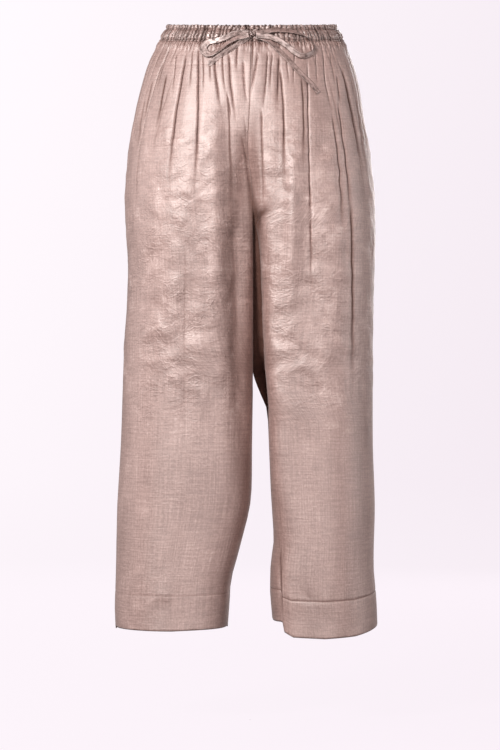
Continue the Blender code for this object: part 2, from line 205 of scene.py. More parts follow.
# the outline: half widths at each side, how far a leg's oval runs past the seam between
# the legs as a share of its half width, and the depth in front and behind
levelColumns = ("z", "right", "left", "frontShare", "backShare", "front", "back")
levels = (
    (14, 120, 125, 1.0, 1.0, 91, 85),
    (-12, 134, 139, 1.0, 1.0, 98, 92),
    (-43, 150, 152, 0.96, 0.96, 109, 104),
    (-78, 161, 162, 0.85, 0.85, 118, 118),
    (-123, 172, 169, 0.66, 0.66, 125, 134),
    (-168, 180, 177, 0.46, 0.48, 129, 146),
    (-235, 186, 185, 0.22, 0.27, 130, 154),
    (-300, 185, 187, 0.06, 0.13, 127, 149),
    (-348, 182, 186, 0.03, 0.08, 123, 140),
    (-415, 184, 184, 0.012, 0.045, 117, 128),
    (-470, 188, 183, 0.004, 0.02, 113, 121),
    (-505, 189, 183, 0.0, 0.0, 110, 117),
    (-618, 193, 183, 0.0, 0.0, 104, 107),
    (-708, 198, 186, 0.0, 0.0, 100, 101),
    (-798, 200, 184, 0.0, 0.0, 97, 98),
    (-865, 202, 189, 0.0, 0.0, 95, 96),
    (-891, 201, 190, 0.0, 0.0, 95, 96),
)
middleColumns = ("z", "x")
middles = ((14, 2), (-100, 0), (-180, -3), (-240, 3), (-300, 4), (-505, 4), (-891, 4))
innerColumns = ("z", "right", "left")
inners = ((-505, 4, 4), (-520, 3.5, 8), (-550, 3.4, 20), (-565, 3.2, 26), (-618, 2.5, 29),
          (-690, 1.5, 32), (-720, -3, 34), (-768, -15, 36), (-798, -23, 32), (-820, -29, 31),
          (-850, -31, 31), (-891, -34, 34))
# the deep fold between the legs in front: how far the left leg stands off the right one
slotColumns = ("z", "width")
slots = ((-246, 0), (-262, 1), (-280, 3.2), (-300, 6.5), (-330, 10.5), (-365, 12.5), (-400, 14),
         (-459, 16), (-505, 18.5), (-520, 16.5), (-550, 7.5), (-565, 2.5), (-600, 0), (-891, 0))
sideNames = {right: "right", left: "left"}
faceNames = {front: "front", back: "back"}
# hem lines round each leg: by place behind, and by the angle from the side seam in front
backHems = {right: {"outer": -892, "middle": -893, "inner": -890},
            left: {"outer": -886, "middle": -907, "inner": -877}}
frontHems = {right: ((0, -886), (0.4, -888.5), (1.6, -889.5), (2.3, -886.5), (3.2, -884)),
             left: ((0, -884), (0.5, -890), (1.0, -897), (1.6, -900), (2.15, -898), (2.31, -891),
                    (2.35, -876), (3.2, -877))}
cut = {"crotch": -505, "hemStart": -720, "hemLevel": -891, "hemDepth": 52, "tilt": 0.119,
       "tiltEnd": -230, "outerPower": 2.1, "innerPower": {front: 2.7, back: 2.2},
       "legSquare": 0.9, "legSquareFade": (-200, -300), "legDepth": {right: -0.04, left: 0.04},
       "legDepthFade": (-350, -600), "halfSeam": 0.12}
# the left leg beside the deep fold: how square it is and over which heights, the share of the
# cloth that is the fold's floor, and the widths of the fold at which each is full
slotSetup = {"open": 0.01, "full": 10, "square": 4.0, "squareFull": 9, "squareLow": -430,
             "squareFade": (-800, -560), "floorShare": 0.125, "floorFull": 6, "bend": 3,
             "wall": 1.8, "shade": 0.92, "shadeFrom": 1.35, "shadeSpread": 0.5, "shadeFull": 3}
hemStitch = cut["hemLevel"] + cut["hemDepth"]


def ease(value):
    value = np.clip(value, 0.0, 1.0)
    return value * value * (3 - 2 * value)


def fade(z, none, full):
    # 0 at one height, easing to 1 at the other
    return ease((z - none) / (full - none))


def bell(apart, width, power=2):
    return np.exp(-np.abs(apart / width) ** power)


def readCurve(table, columns, name, z):
    # a smooth curve through one column of a table whose heights fall row by row
    heights = np.array([row[0] for row in table], float)
    values = np.array([row[columns.index(name)] for row in table], float)
    z = np.clip(z, heights[-1], heights[0])
    last = len(heights) - 1
    low = np.maximum(np.arange(last + 1) - 1, 0)
    high = np.minimum(np.arange(last + 1) + 1, last)
    slopes = (values[high] - values[low]) / (heights[high] - heights[low])
    i = np.clip(np.searchsorted(-heights, -z, side="left") - 1, 0, last - 1)
    step = heights[i + 1] - heights[i]
    t = (z - heights[i]) / step
    return ((2 * t**3 - 3 * t**2 + 1) * values[i] + (t**3 - 2 * t**2 + t) * step * slopes[i]
            + (3 * t**2 - 2 * t**3) * values[i + 1] + (t**3 - t**2) * step * slopes[i + 1])


def legOval(side, face, z):
    middle = readCurve(middles, middleColumns, "x", z)
    out = readCurve(levels, levelColumns, sideNames[side], z) - side * middle
    above = out * readCurve(levels, levelColumns, faceNames[face] + "Share", z)
    below = side * (middle - readCurve(inners, innerColumns, sideNames[side], z))
    past = np.where(z > cut["crotch"], above, below)
    return middle, (out - past) / 2, (out + past) / 2


def legDepth(side, face, z):
    depth = readCurve(levels, levelColumns, faceNames[face], z)
    return depth * (1 + cut["legDepth"][side] * fade(z, *cut["legDepthFade"]))


def innerPower(face, z):
    squarer = cut["legSquare"] * fade(z, *cut["legSquareFade"]) if face == front else 0.0 * z
    return cut["innerPower"][face] + squarer


def ovalPoint(side, face, oval, depth, power, angle):
    middle, centre, half = oval
    power = np.where(angle < math.pi / 2, cut["outerPower"], power)
    c, s = np.cos(angle), np.sin(angle)
    reach = (np.abs(c) ** power + np.abs(s) ** power) ** (-1 / power)
    wide, deep = reach * c, reach * s
    facingX = side * np.sign(wide) * np.abs(wide) ** (power - 1) / half
    facingY = face * np.abs(deep) ** (power - 1) / depth
    length = np.hypot(facingX, facingY)
    return (middle + side * (centre + half * wide), face * depth * deep, facingX / length,
            facingY / length)


def outline(side, face, along, z):
    # the cloth before it folds: its x and y, the way it faces, and the angle round the oval;
    # along runs from the side seam, 0, to the seam in the middle or the inseam, 1
    setup = slotSetup
    oval = legOval(side, face, z)
    middle, centre, half = oval
    depth = legDepth(side, face, z)
    power = seamPower = innerPower(face, z)
    slot = readCurve(slots, slotColumns, "width", z)
    if (side, face) == (left, front):
        # this leg is squarer beside the deep fold and below it
        beside = ease(slot / setup["squareFull"])
        below = fade(z, *setup["squareFade"])
        power = power + setup["square"] * np.where(z > setup["squareLow"], beside, below)
    across = np.maximum(-centre / half, -1.0)
    deep = (1 - np.abs(across) ** power) ** (1 / power)
    angle = along * np.arctan2(deep, across)
    plain = (*ovalPoint(side, face, oval, depth, power, angle), angle)
    if (side, face) != (left, front):
        return plain
    # beside the deep fold this leg's oval ends early, and its floor runs on to the seam
    floor = ease(slot / setup["floorFull"])
    deep = (1 - np.abs(across) ** seamPower) ** (1 / seamPower)
    deep = np.maximum(deep, setup["wall"] * floor / depth)
    seamX, seamY = middle + side * (centre + half * across), face * depth * deep
    out, past = centre + half, half - centre
    past = np.where(past > 0, past * (1 - ease(slot / setup["full"])), past) - slot
    early = (middle, (out - past) / 2, (out + past) / 2)
    turn = 1 - setup["floorShare"] * floor
    end = np.arctan2(deep, -(1 - np.minimum(deep, 1) ** power) ** (1 / power))
    angle = np.minimum(along / turn, 1.0) * end
    x, y, facingX, facingY = ovalPoint(side, face, early, depth, power, angle)
    x = middle + side * np.maximum(side * (x - middle), 0)
    share = np.clip((along - turn) / np.maximum(1 - turn, 1e-6), 0.0, 1.0)
    x, y = x + (seamX - x) * share, y + (seamY - y) * share
    bend = floor * ease(share * setup["bend"])
    facingX, facingY = facingX * (1 - bend), facingY * (1 - bend) + face * bend
    length = np.hypot(facingX, facingY)
    folded = (x, y, facingX / length, facingY / length, angle)
    return tuple(np.where(slot > setup["open"], one, other)
                 for one, other in zip(folded, plain))


def tilt(y, z):
    # the waist tilts down to the front
    return cut["tilt"] * y * fade(z, cut["tiltEnd"], 0)


def drop(side, face, angle, y, z):
    # the height of each point: tilted above, and the lowest rows slope to the hem line
    if face == front:
        end = np.interp(angle, *zip(*frontHems[side]))
    else:
        hem = backHems[side]
        end = (hem["outer"] * np.maximum(np.cos(angle), 0) ** 2
               + hem["middle"] * np.sin(angle) ** 2
               + hem["inner"] * np.maximum(-np.cos(angle), 0) ** 2)
    start = cut["hemStart"]
    low = start + (z - start) * (end - start) / (cut["hemLevel"] - start)
    return np.where(z > start, z + tilt(y, z), low)


def makeNoise(seed, cells=64):
    # smooth seeded noise on a plane, about -0.7 to 0.7
    turn = np.random.RandomState(seed).uniform(0, 2 * math.pi, (cells, cells))
    slopeX, slopeY = np.cos(turn), np.sin(turn)

    def noise(x, y):
        i, j = np.floor(x).astype(int), np.floor(y).astype(int)
        fx, fy = x - i, y - j
        ux, uy = (f**3 * (f * (f * 6 - 15) + 10) for f in (fx, fy))

        def corner(a, b):
            place = ((i + a) % cells, (j + b) % cells)
            return slopeX[place] * (fx - a) + slopeY[place] * (fy - b)

        upper = corner(0, 0) * (1 - ux) + corner(1, 0) * ux
        lower = corner(0, 1) * (1 - ux) + corner(1, 1) * ux
        return upper * (1 - uy) + lower * uy

    return noise


noises = [makeNoise(seed) for seed in range(11, 17)]

# the largest folds, as in the frame: x and z of both ends, half width and depth
frontFolds = (
    (-131, -50, -141, -170, 8, -4),
    (-97, -36, -120, -260, 8, -6),
    (-76, -28, -81, -270, 7, -7),
    (-53, -110, -50, -470, 12, 3.5),
    (-51, -34, -36, -140, 7, -4),
    (-31, -34, -29, -160, 7, -5),
    (-12, -70, -10, -660, 20.5, -15),
    (-34, -90, -32, -560, 10, -4),
    (-10, -230, -6, -600, 9, 3),
    (-9, -40, -3, -125, 8, -5),
    (-9, -140, 6, -330, 10.5, -8),
    (26, -34, 20, -120, 7, -4),
    (34, -36, 44, -150, 8, -4),
    (45, -45, 42, -270, 7, -6),
    (64, -140, 60, -450, 12, 8),
    (83, -40, 88, -300, 9, -8),
    (110, -45, 135, -330, 9, -6),
    (131, -105, 150, -560, 9, -6),
    (140, -50, 170, -250, 8, -4),
    (-94, -330, -96, -680, 12, -2.5),
)
backFolds = (
    (-126, -46, -146, -230, 9, -5),
    (-101, -34, -116, -330, 9, -7),
    (-82, -50, -88, -160, 8, -4),
    (-62, -36, -70, -290, 9, -7),
    (-40, -34, -44, -190, 8, -5),
    (-22, -40, -26, -300, 9, -6),
    (22, -34, 30, -230, 9, -6),
    (43, -40, 52, -320, 9, -7),
    (66, -34, 72, -180, 8, -5),
    (88, -38, 101, -300, 9, -7),
    (112, -50, 128, -200, 8, -4),
    (130, -60, 150, -340, 9, -6),
    (-62, -420, -88, -760, 14, -6),
    (92, -430, 110, -800, 14, -6),
)
sideFolds = (
    (-62, -60, -74, -300, 9, -5),
    (-26, -40, -34, -210, 9, -5),
    (22, -46, 30, -260, 9, -5),
    (60, -40, 84, -340, 9, -6),
)

# sharp creases that run down from the gathers: x and z of the top, middle and lower end, half
# width, depth, and the side with the gentler flank and a low crest, 1 towards +X
frontCreases = (
    (-119, -24, -130, -54, -138, -92, 1.8, 2.6, 1),
    (-123, -62, -131, -109, -141, -162, 3.2, 2.2, 1),
    (-144, -72, -150, -95, -158, -143, 2.2, 1.8, 1),
    (-155, -100, -162, -140, -168, -190, 2.4, 1.6, 1),
    (-94, -29, -102, -78, -120, -260, 2.6, 4.2, 1),
    (-108, -30, -111, -60, -113, -100, 1.6, 2.0, 1),
    (-84, -26, -86, -50, -88, -90, 1.6, 2.0, -1),
    (-76, -22, -76, -110, -81, -262, 1.9, 5.6, 1),
    (-69, -30, -68, -60, -68, -96, 1.5, 2.0, 1),
    (-58, -40, -58, -52, -57, -78, 1.5, 1.6, 1),
    (-51, -32, -49, -78, -39, -125, 1.8, 4.2, 1),
    (-40, -26, -39, -60, -34, -100, 1.5, 2.2, -1),
    (-31, -30, -28, -78, -18, -150, 1.9, 4.6, 1),
    (-34, -95, -30, -110, -29, -140, 1.6, 2.2, 1),
    (-18, -22, -19, -38, -19, -60, 1.5, 3.2, 1),
    (-10, -42, -8, -78, -3, -112, 1.9, 4.4, 1),
    (11, -30, 6, -62, -3, -108, 2.0, 4.6, -1),
    (26, -28, 24, -66, 18, -124, 1.7, 4.0, -1),
    (33, -30, 31, -58, 28, -92, 1.5, 3.0, -1),
    (43, -34, 41, -70, 41, -128, 3.4, 3.4, 1),
    (44, -52, 49, -120, 45, -255, 2.4, 4.6, -1),
    (54, -34, 55, -50, 57, -82, 1.5, 2.2, 1),
    (65, -30, 64, -56, 63, -86, 1.5, 2.4, -1),
    (76, -66, 78, -110, 75, -230, 3.6, 2.6, 1),
    (85, -42, 86, -190, 92, -430, 1.9, 5.4, -1),
    (96, -30, 97, -50, 99, -84, 1.5, 2.2, 1),
    (108, -28, 111, -70, 122, -130, 1.9, 4.0, 1),
    (120, -126, 130, -200, 134, -330, 2.8, 2.6, 1),
    (118, -30, 121, -52, 127, -84, 1.6, 2.0, 1),
    (128, -66, 130, -84, 131, -112, 2.2, 2.6, 1),
    (129, -108, 139, -180, 149, -310, 2.6, 3.6, 1),
    (136, -52, 149, -110, 171, -240, 2.2, 3.0, 1),
    (156, -96, 164, -150, 172, -215, 1.8, 2.4, 1),
    (148, -260, 150, -380, 150, -560, 3.4, 2.2, 1),
    (-12, -160, -2, -220, 5, -300, 2.2, 5.0, -1),
    (-9, -130, -6, -150, -4, -172, 1.4, 1.2, 1),
    (16, -118, 18, -200, 18, -320, 2.2, 3.2, -1),
    (44, -765, 46, -820, 48, -891, 2.2, 2.4, 1),
    (-94, -320, -96, -480, -96, -640, 2.4, 0.5, 1),
)
backCreases = (
    (-150, -60, -157, -110, -164, -190, 2.2, 2.4, 1),
    (-129, -30, -137, -90, -146, -220, 2.2, 3.6, 1),
    (-117, -26, -119, -50, -124, -90, 1.6, 2.2, 1),
    (-101, -24, -108, -110, -116, -300, 2.0, 5.0, 1),
    (-91, -28, -93, -60, -95, -110, 1.6, 2.2, -1),
    (-80, -30, -84, -90, -88, -170, 1.8, 3.2, 1),
    (-63, -24, -66, -120, -71, -280, 2.0, 5.0, 1),
    (-53, -28, -55, -60, -56, -100, 1.5, 2.2, -1),
    (-40, -26, -43, -90, -44, -180, 1.8, 3.8, 1),
    (-31, -26, -32, -60, -34, -96, 1.5, 2.2, 1),
    (-20, -26, -24, -110, -27, -260, 2.0, 4.4, 1),
    (-9, -26, -10, -60, -12, -110, 1.6, 2.4, 1),
    (11, -26, 12, -54, 16, -100, 1.6, 2.4, -1),
    (22, -28, 26, -120, 31, -220, 2.0, 4.4, -1),
    (33, -26, 34, -60, 38, -104, 1.5, 2.2, 1),
    (43, -26, 48, -130, 52, -300, 2.0, 5.0, -1),
    (56, -26, 58, -60, 60, -100, 1.5, 2.0, 1),
    (66, -28, 70, -90, 73, -170, 1.8, 3.6, -1),
    (78, -26, 80, -60, 83, -110, 1.6, 2.2, 1),
    (89, -24, 95, -120, 101, -290, 2.0, 5.0, -1),
    (101, -28, 104, -60, 108, -110, 1.6, 2.2, 1),
    (113, -30, 120, -90, 129, -190, 1.8, 3.4, -1),
    (130, -34, 140, -130, 150, -320, 2.2, 4.2, -1),
    (150, -60, 158, -120, 164, -210, 2.0, 2.4, -1),
    (-62, -400, -74, -560, -88, -740, 3.6, 0.9, 1),
    (92, -420, 100, -600, 110, -780, 3.6, 0.9, -1),
)
# folds and creases on the two sides are placed by their y
sideCreases = (
    (-84, -60, -92, -120, -100, -200, 2.0, 2.6, 1),
    (-60, -40, -68, -140, -76, -280, 2.2, 3.8, 1),
    (-42, -30, -46, -60, -50, -110, 1.6, 2.2, 1),
    (-25, -26, -30, -100, -35, -200, 2.0, 3.6, -1),
    (-8, -26, -10, -60, -12, -120, 1.7, 2.4, 1),
    (8, -30, 10, -70, 12, -130, 1.7, 2.4, -1),
    (22, -28, 26, -120, 31, -240, 2.0, 3.8, 1),
    (42, -30, 48, -70, 56, -130, 1.6, 2.4, -1),
    (58, -28, 70, -130, 85, -320, 2.2, 4.2, 1),
    (84, -50, 96, -120, 112, -220, 2.0, 2.8, 1),
)

foldSetup = {"wide": 10, "narrowShare": 0.12, "wideStart": 3, "start": 6, "end": 2.2}
creaseSetup = {"slit": 0.85, "slitShare": 0.72, "gentle": 2.2, "steep": 1.0, "power": 1.4,
               "crest": 0.07, "crestAway": 9, "crestWidth": 4, "margin": 8, "sway": 1.3,
               "swaySize": 34, "start": 9, "end": 1.7, "width": 1.9, "widen": 1.2,
               "widenFrom": 0.4, "cavity": 1.05, "cavityPower": 1.8, "cavityFull": 2.3}


def foldDepth(folds, place, z):
    # the wide folds start slowly, and the narrow ones are shallow because creases lie on them
    total = np.zeros_like(z)
    for xTop, zTop, xLow, zLow, width, depth in folds:
        if width < foldSetup["wide"]:
            depth = depth * foldSetup["narrowShare"]
        start = foldSetup["wideStart" if width > foldSetup["wide"] else "start"]
        down = (zTop - z) / (zTop - zLow)
        centre = xTop + (xLow - xTop) * down
        strength = ease(down * start) * ease((1 - down) * foldSetup["end"])
        total += depth * strength * bell(place - centre, width)
    return total


def creaseDepth(creases, place, z):
    # how far the creases push the cloth out, and how deep in a slit each point lies, 0 to 1
    setup = creaseSetup
    total, cavity = np.zeros_like(z), np.zeros_like(z)
    for x0, z0, x1, z1, x2, z2, width, depth, gentle in creases:
        inside = (z < z0 + setup["margin"]) & (z > z2 - setup["margin"])
        if not inside.any():
            continue
        level, spot = z[inside], place[inside]
        centre = (x0 * (level - z1) * (level - z2) / ((z0 - z1) * (z0 - z2))
                  + x1 * (level - z0) * (level - z2) / ((z1 - z0) * (z1 - z2))
                  + x2 * (level - z0) * (level - z1) / ((z2 - z0) * (z2 - z1)))
        wander = noises[4](level / setup["swaySize"] + x0, np.full_like(level, x0 / 7))
        apart = spot - (centre + setup["sway"] * wander)
        down = (z0 - level) / (z0 - z2)
        strength = ease(down * setup["start"] + 0.2) * ease((1 - down) * setup["end"])
        wide = width / setup["width"] * (
            1 + setup["widen"] * ease((down - setup["widenFrom"]) * 1.6))
        flank = np.where(apart * gentle > 0, setup["gentle"], setup["steep"]) * wide
        shape = -setup["slitShare"] * bell(apart, setup["slit"] * wide, setup["power"])
        shape -= (1 - setup["slitShare"]) * bell(apart, flank, setup["power"])
        shape += setup["crest"] * bell(apart - gentle * setup["crestAway"] * wide,
                                       setup["crestWidth"] * wide)
        total[inside] += depth * strength * shape
        slit = bell(apart, setup["cavity"] * wide, setup["cavityPower"])
        slit = slit * strength * min(depth / setup["cavityFull"], 1.0)
        cavity[inside] = np.maximum(cavity[inside], slit)
    return total, cavity


# small gathers below the band: each is a narrow valley of its own place, depth and length,
# with a row of puffs and pits above and one crease across below
gatherSetup = {"quarter": 32, "width": 1.2, "depth": 2.3, "top": -12, "short": (-22, -42),
               "long": (-44, -92), "longShare": 0.2, "shift": 0.36, "drift": 0.5,
               "depths": (0.45, 1.15), "widths": (0.8, 1.35), "end": 1.1, "puff": 1.6,
               "puffMiddle": -17.5, "puffTall": 5.5, "pit": 2.0, "pitMiddle": -14.5,
               "pitTall": 4.2, "crease": 0.35, "creaseMiddle": -47, "creaseTall": 1.5}


def gatherTable(side, face):
    # place, depth, half width, end height and sideways drift of each gather of a quarter
    setup = gatherSetup
    random = np.random.RandomState(40 + side + 3 * face)
    count = setup["quarter"]
    shift = random.uniform(-setup["shift"], setup["shift"], count)
    place = (np.arange(count) + 0.5 + shift) / count
    depth = random.uniform(*setup["depths"], count)
    width = random.uniform(*setup["widths"], count)
    isLong = random.uniform(0, 1, count) < setup["longShare"]
    end = np.where(isLong, random.uniform(*setup["long"], count),
                   random.uniform(*setup["short"], count))
    drift = random.uniform(-setup["drift"], setup["drift"], count) / count
    return np.stack([place, depth, width, end, drift], axis=-1)


def gathers(side, face, along, z, span):
    # span is the width of the cloth from seam to seam at each height
    setup = gatherSetup
    total, cavity = np.zeros_like(z), np.zeros_like(z)
    for place, depth, width, end, drift in gatherTable(side, face):
        down = np.clip((setup["top"] - z) / (setup["top"] - end), 0, 1.2)
        centre = place + drift * down**2
        apart = (along - centre) * span / (setup["width"] * width * (1 + 0.3 * down))
        fades = ease((1 - down) * setup["end"])
        strength = setup["depth"] * depth * fades ** 1.5
        total -= strength * bell(apart, 1, 1.3)
        total += 0.12 * strength * bell(np.abs(apart) - 2.4, 1.2)
        cavity = np.maximum(cavity, bell(apart, 0.75, 1.6) * depth * fades)
    uneven = 1 + 1.6 * noises[1](along * 44 + side * 3.3, z / 7 + face * 2.1)
    puffs = setup["puff"] * bell(z - setup["puffMiddle"], setup["puffTall"]) * uneven
    turns = 2 * setup["quarter"] * along + 0.5 * noises[2](along * 40 + side, z / 5)
    pits = (0.5 + 0.5 * np.cos(2 * math.pi * turns)) ** 1.4
    pits = pits * bell(z - setup["pitMiddle"], setup["pitTall"])
    pits = pits * (1 + 1.4 * noises[5](along * 50, z / 6 + face))
    sway = 3 * noises[3](along * 5, z * 0)
    crease = setup["crease"] * bell(z - setup["creaseMiddle"] + sway, setup["creaseTall"])
    return (total + puffs - setup["pit"] * pits - crease,
            np.clip(np.maximum(cavity, 1.05 * pits), 0, 1))


# crushed silk: soft dents and fine sharp wrinkles, most on the thighs
crumpleSetup = {"dents": 0.45, "dentSize": 62, "small": 0.4, "smallSize": 14, "sway": 2.2,
                "swaySize": 110, "swayFade": (-250, -500), "facets": 13, "facetSizes": (14, 64),
                "facetSlope": 0.045, "facetLean": 38, "top": (-50, -180), "low": (-650, -480),
                "lowShare": 0.22, "legsApart": 700}


def crush(across, z):
    # how crushed the cloth is at each point: in patches, most on the thighs
    setup = crumpleSetup
    thigh = setup["lowShare"] + (1 - setup["lowShare"]) * fade(z, *setup["low"])
    patch = 0.5 + 0.9 * ease(0.5 + 1.2 * noises[2](across / 52, z / 66))
    return fade(z, *setup["top"]) * thigh * patch


def facets(across, z):
    # flat facets between straight sharp ridges that run across and aslant, in patches
    random = np.random.RandomState(23)
    total = np.zeros_like(z)
    for number in range(crumpleSetup["facets"]):
        lean = math.radians(90 + random.normal(0, crumpleSetup["facetLean"]))
        size = random.uniform(*crumpleSetup["facetSizes"])
        shift = random.uniform(0, 40)
        place = (across * math.cos(lean) + z * math.sin(lean)) / size
        place = place + 0.9 * noises[number % 6](across / 85 + shift, z / 70)
        saw = np.abs(place - np.floor(place) - 0.5) - 0.25
        patch = ease(0.35 + 2.4 * noises[(number + 2) % 6](across / 48 + shift, z / 44 - shift))
        total += crumpleSetup["facetSlope"] * size * saw * patch
    return total


def crumples(across, z):
    setup = crumpleSetup
    bendX = across + 11 * noises[3](across / 30, z / 26)
    bendZ = z + 10 * noises[4](across / 32, z / 22)
    dents = noises[5](bendX / setup["dentSize"], bendZ / (setup["dentSize"] * 0.7))
    size = setup["smallSize"]
    small = 0.3 - np.abs(noises[1](bendX / size - bendZ / 40, bendZ / (size * 0.6)))
    sway = noises[3](across / setup["swaySize"] + 9, z / (setup["swaySize"] * 1.6))
    crushed = crush(across, z)
    return (crushed * (setup["dents"] * dents + setup["small"] * small * crushed**2)
            + (0.15 + crushed) * facets(across, z)
            + setup["sway"] * sway * fade(z, *setup["swayFade"]))


# the turned-up hem's line: a shallow groove where it is stitched down, its slight bulge below,
# and its shade
hemSetup = {"bite": {right: 0.3, left: 0.7}, "shade": {right: 0.25, left: 0.7}, "groove": 1.4,
            "shadeTall": 1.1, "bulge": 0.35, "bulgeTall": 6}


def hemLine(side, z):
    apart = z - hemStitch
    bulge = hemSetup["bulge"] * bell(apart + hemSetup["bulgeTall"], hemSetup["bulgeTall"])
    return hemSetup["bite"][side] * (bulge - bell(apart, hemSetup["groove"]))


# dark lines in the front: how far down, x, half width and how dark
shadeLines = (
    ((135, -9, 2.0, 0), (150, -7.3, 2.2, 0.3), (212, -2.9, 4.4, 0.62), (253, 3.2, 7.4, 0.82),
     (286, 7.5, 8.6, 0.92), (330, 10, 8, 0.8), (410, 12, 7, 0)),
    ((86, -35, 1.1, 0), (100, -33, 1.2, 0.7), (139, -30.2, 1.3, 0.86), (180, -29.3, 1.7, 0.82),
     (209, -27, 2.6, 0.62), (260, -26.5, 6, 0.40), (420, -26, 8, 0.36), (560, -24, 9, 0.26),
     (680, -22, 9, 0)),
    ((104, 4, 6, 0), (140, 6, 7, 0.3), (200, 9, 8, 0.34), (250, 12, 7, 0.3), (300, 14, 5, 0)),
)

# the panels' finish: near the band and at the seams, whose widths are shares of a panel
clothSetup = {"bandFade": (-12, -26), "bandShare": 0.35, "edge": 9, "seam": 0.9,
              "seamFade": (-14, -24), "seamWidth": 0.006, "sideSeam": 0.6,
              "sideSeamWidth": 0.004, "seamShade": 0.7, "flatFade": 60,
              "smooth": {"share": 0.85, "x": 24, "z": -298, "wide": 36, "tall": 30}}


def clothPoints(side, face, along, z, out=0.0):
    # the finished surface of a panel, in millimetres, and how dark and how crushed it is
    setup = clothSetup
    x, y, facingX, facingY, angle = outline(side, face, along, z)
    folds, creases = (frontFolds, frontCreases) if face == front else (backFolds, backCreases)
    facesOut = ease(np.abs(facingY) * 1.6) * ease(np.abs(y) / 30)
    facesSide = ease((np.abs(facingX) - 0.5) * 3)
    ahead, aheadCavity = creaseDepth(creases, x, z)
    beside, besideCavity = creaseDepth(sideCreases, y, z)
    depth = foldDepth(folds, x, z) * facesOut + foldDepth(sideFolds, y, z) * facesSide
    depth += ahead * facesOut + beside * facesSide
    depth *= setup["bandShare"] + (1 - setup["bandShare"]) * fade(z, *setup["bandFade"])
    step = np.hypot(np.diff(x, axis=1), np.diff(y, axis=1))
    across = face * np.concatenate([np.zeros((len(x), 1)), np.cumsum(step, axis=1)], axis=1)
    span = np.broadcast_to(np.abs(across[:, -1:]), across.shape)
    across = across + crumpleSetup["legsApart"] * side
    edge = ease((1 - along) * setup["edge"])
    small, gatherCavity = gathers(side, face, along, z, span)
    crumpled = crumples(across, z) * edge * ease(along * 30 + 0.25) * (1 - 0.6 * facesSide)
    seamLine = (bell(1 - along, setup["seamWidth"])
                + setup["sideSeam"] * bell(along, setup["sideSeamWidth"]))
    if face == front:
        # the middle seam in front is pressed flat
        flat = fade(z, cut["crotch"], cut["crotch"] + setup["flatFade"])
        seamLine = seamLine * (1 - 0.8 * flat * ease((along - 0.5) * 9))
    hemShade = hemSetup["shade"][side] * bell(z - hemStitch, hemSetup["shadeTall"])
    cavity = np.maximum(aheadCavity * facesOut, besideCavity * facesSide) * edge
    cavities = [cavity, gatherCavity, setup["seamShade"] * seamLine, hemShade]
    if (side, face) == (left, front):
        # the cloth is drawn smooth where the deep fold opens, whose floor and wall are in shade
        smooth = setup["smooth"]
        patch = bell(z - smooth["z"], smooth["tall"]) * bell(x - smooth["x"], smooth["wide"])
        crumpled = crumpled * (1 - smooth["share"] * patch)
        slot = readCurve(slots, slotColumns, "width", z)
        floor = slotSetup["floorShare"]
        shade = ease((along - 1 + floor * slotSetup["shadeFrom"])
                     / (floor * slotSetup["shadeSpread"]))
        cavities.append(slotSetup["shade"] * shade * ease(slot / slotSetup["shadeFull"]))
    if face == front:
        for lines in shadeLines:
            down, middle, wide, strong = np.array(lines).T
            shade = np.interp(-z, down, strong, left=0, right=0)
            apart = x - np.interp(-z, down, middle)
            cavities.append(shade * bell(apart, np.interp(-z, down, wide)))
    small = small + crumpled + hemLine(side, z)
    depth = depth + small - setup["seam"] * seamLine * fade(z, *setup["seamFade"]) + out
    px = x + facingX * edge * depth + side * cut["halfSeam"]
    py = y + facingY * depth + face * cut["halfSeam"]
    shades = {"cavity": np.maximum.reduce(cavities), "crush": crush(across, z)}
    return np.stack([px, py, drop(side, face, angle, y, z)], axis=-1), shades


def gridMesh(name, points, grain, closed=False, flip=False, shades={}):
    # a sheet of four-sided faces from rows of points, with its grain as a map in metres
    rows, columns = points.shape[:2]
    index = np.arange(rows * columns).reshape(rows, columns)
    nextColumn = np.roll(index, -1, axis=1) if closed else index[:, 1:]
    here = index if closed else index[:, :-1]
    faces = np.stack([here[:-1], nextColumn[:-1], nextColumn[1:], here[1:]], axis=-1)
    faces = faces.reshape(-1, 4)
    if flip:
        faces = faces[:, ::-1]
    mesh = bpy.data.meshes.new(name)
    mesh.from_pydata((points.reshape(-1, 3) * mm).tolist(), [], faces.tolist())
    uv = mesh.uv_layers.new(name="grain")
    flat = grain.reshape(-1, 2)[faces.reshape(-1)]
    if closed:
        # the last column of faces runs on to the full width instead of back to 0
        flat = flat.reshape(rows - 1, columns, 4, 2)
        width = grain[0, -1, 0] + (grain[0, 1, 0] - grain[0, 0, 0])
        wraps = flat[:, -1, :, 0] < width / 2
        flat[:, -1, :, 0] += np.where(wraps, width, 0.0)
        flat = flat.reshape(-1, 2)
    uv.data.foreach_set("uv", (flat * mm).ravel())
    for shadeName, values in shades.items():
        shade = mesh.attributes.new(shadeName, "FLOAT", "POINT")
        shade.data.foreach_set("value", values.ravel())
    mesh.shade_smooth()
    return addObject(name, mesh)


def thicken(piece, thickness):
    # a thin second layer inside, added at once so that the mesh is final
    solid = piece.modifiers.new("wall", "SOLIDIFY")
    solid.thickness = thickness * mm
    solid.offset = -1
    bpy.context.view_layer.objects.active = piece
    with bpy.context.temp_override(object=piece, active_object=piece):
        bpy.ops.object.modifier_apply(modifier=solid.name)


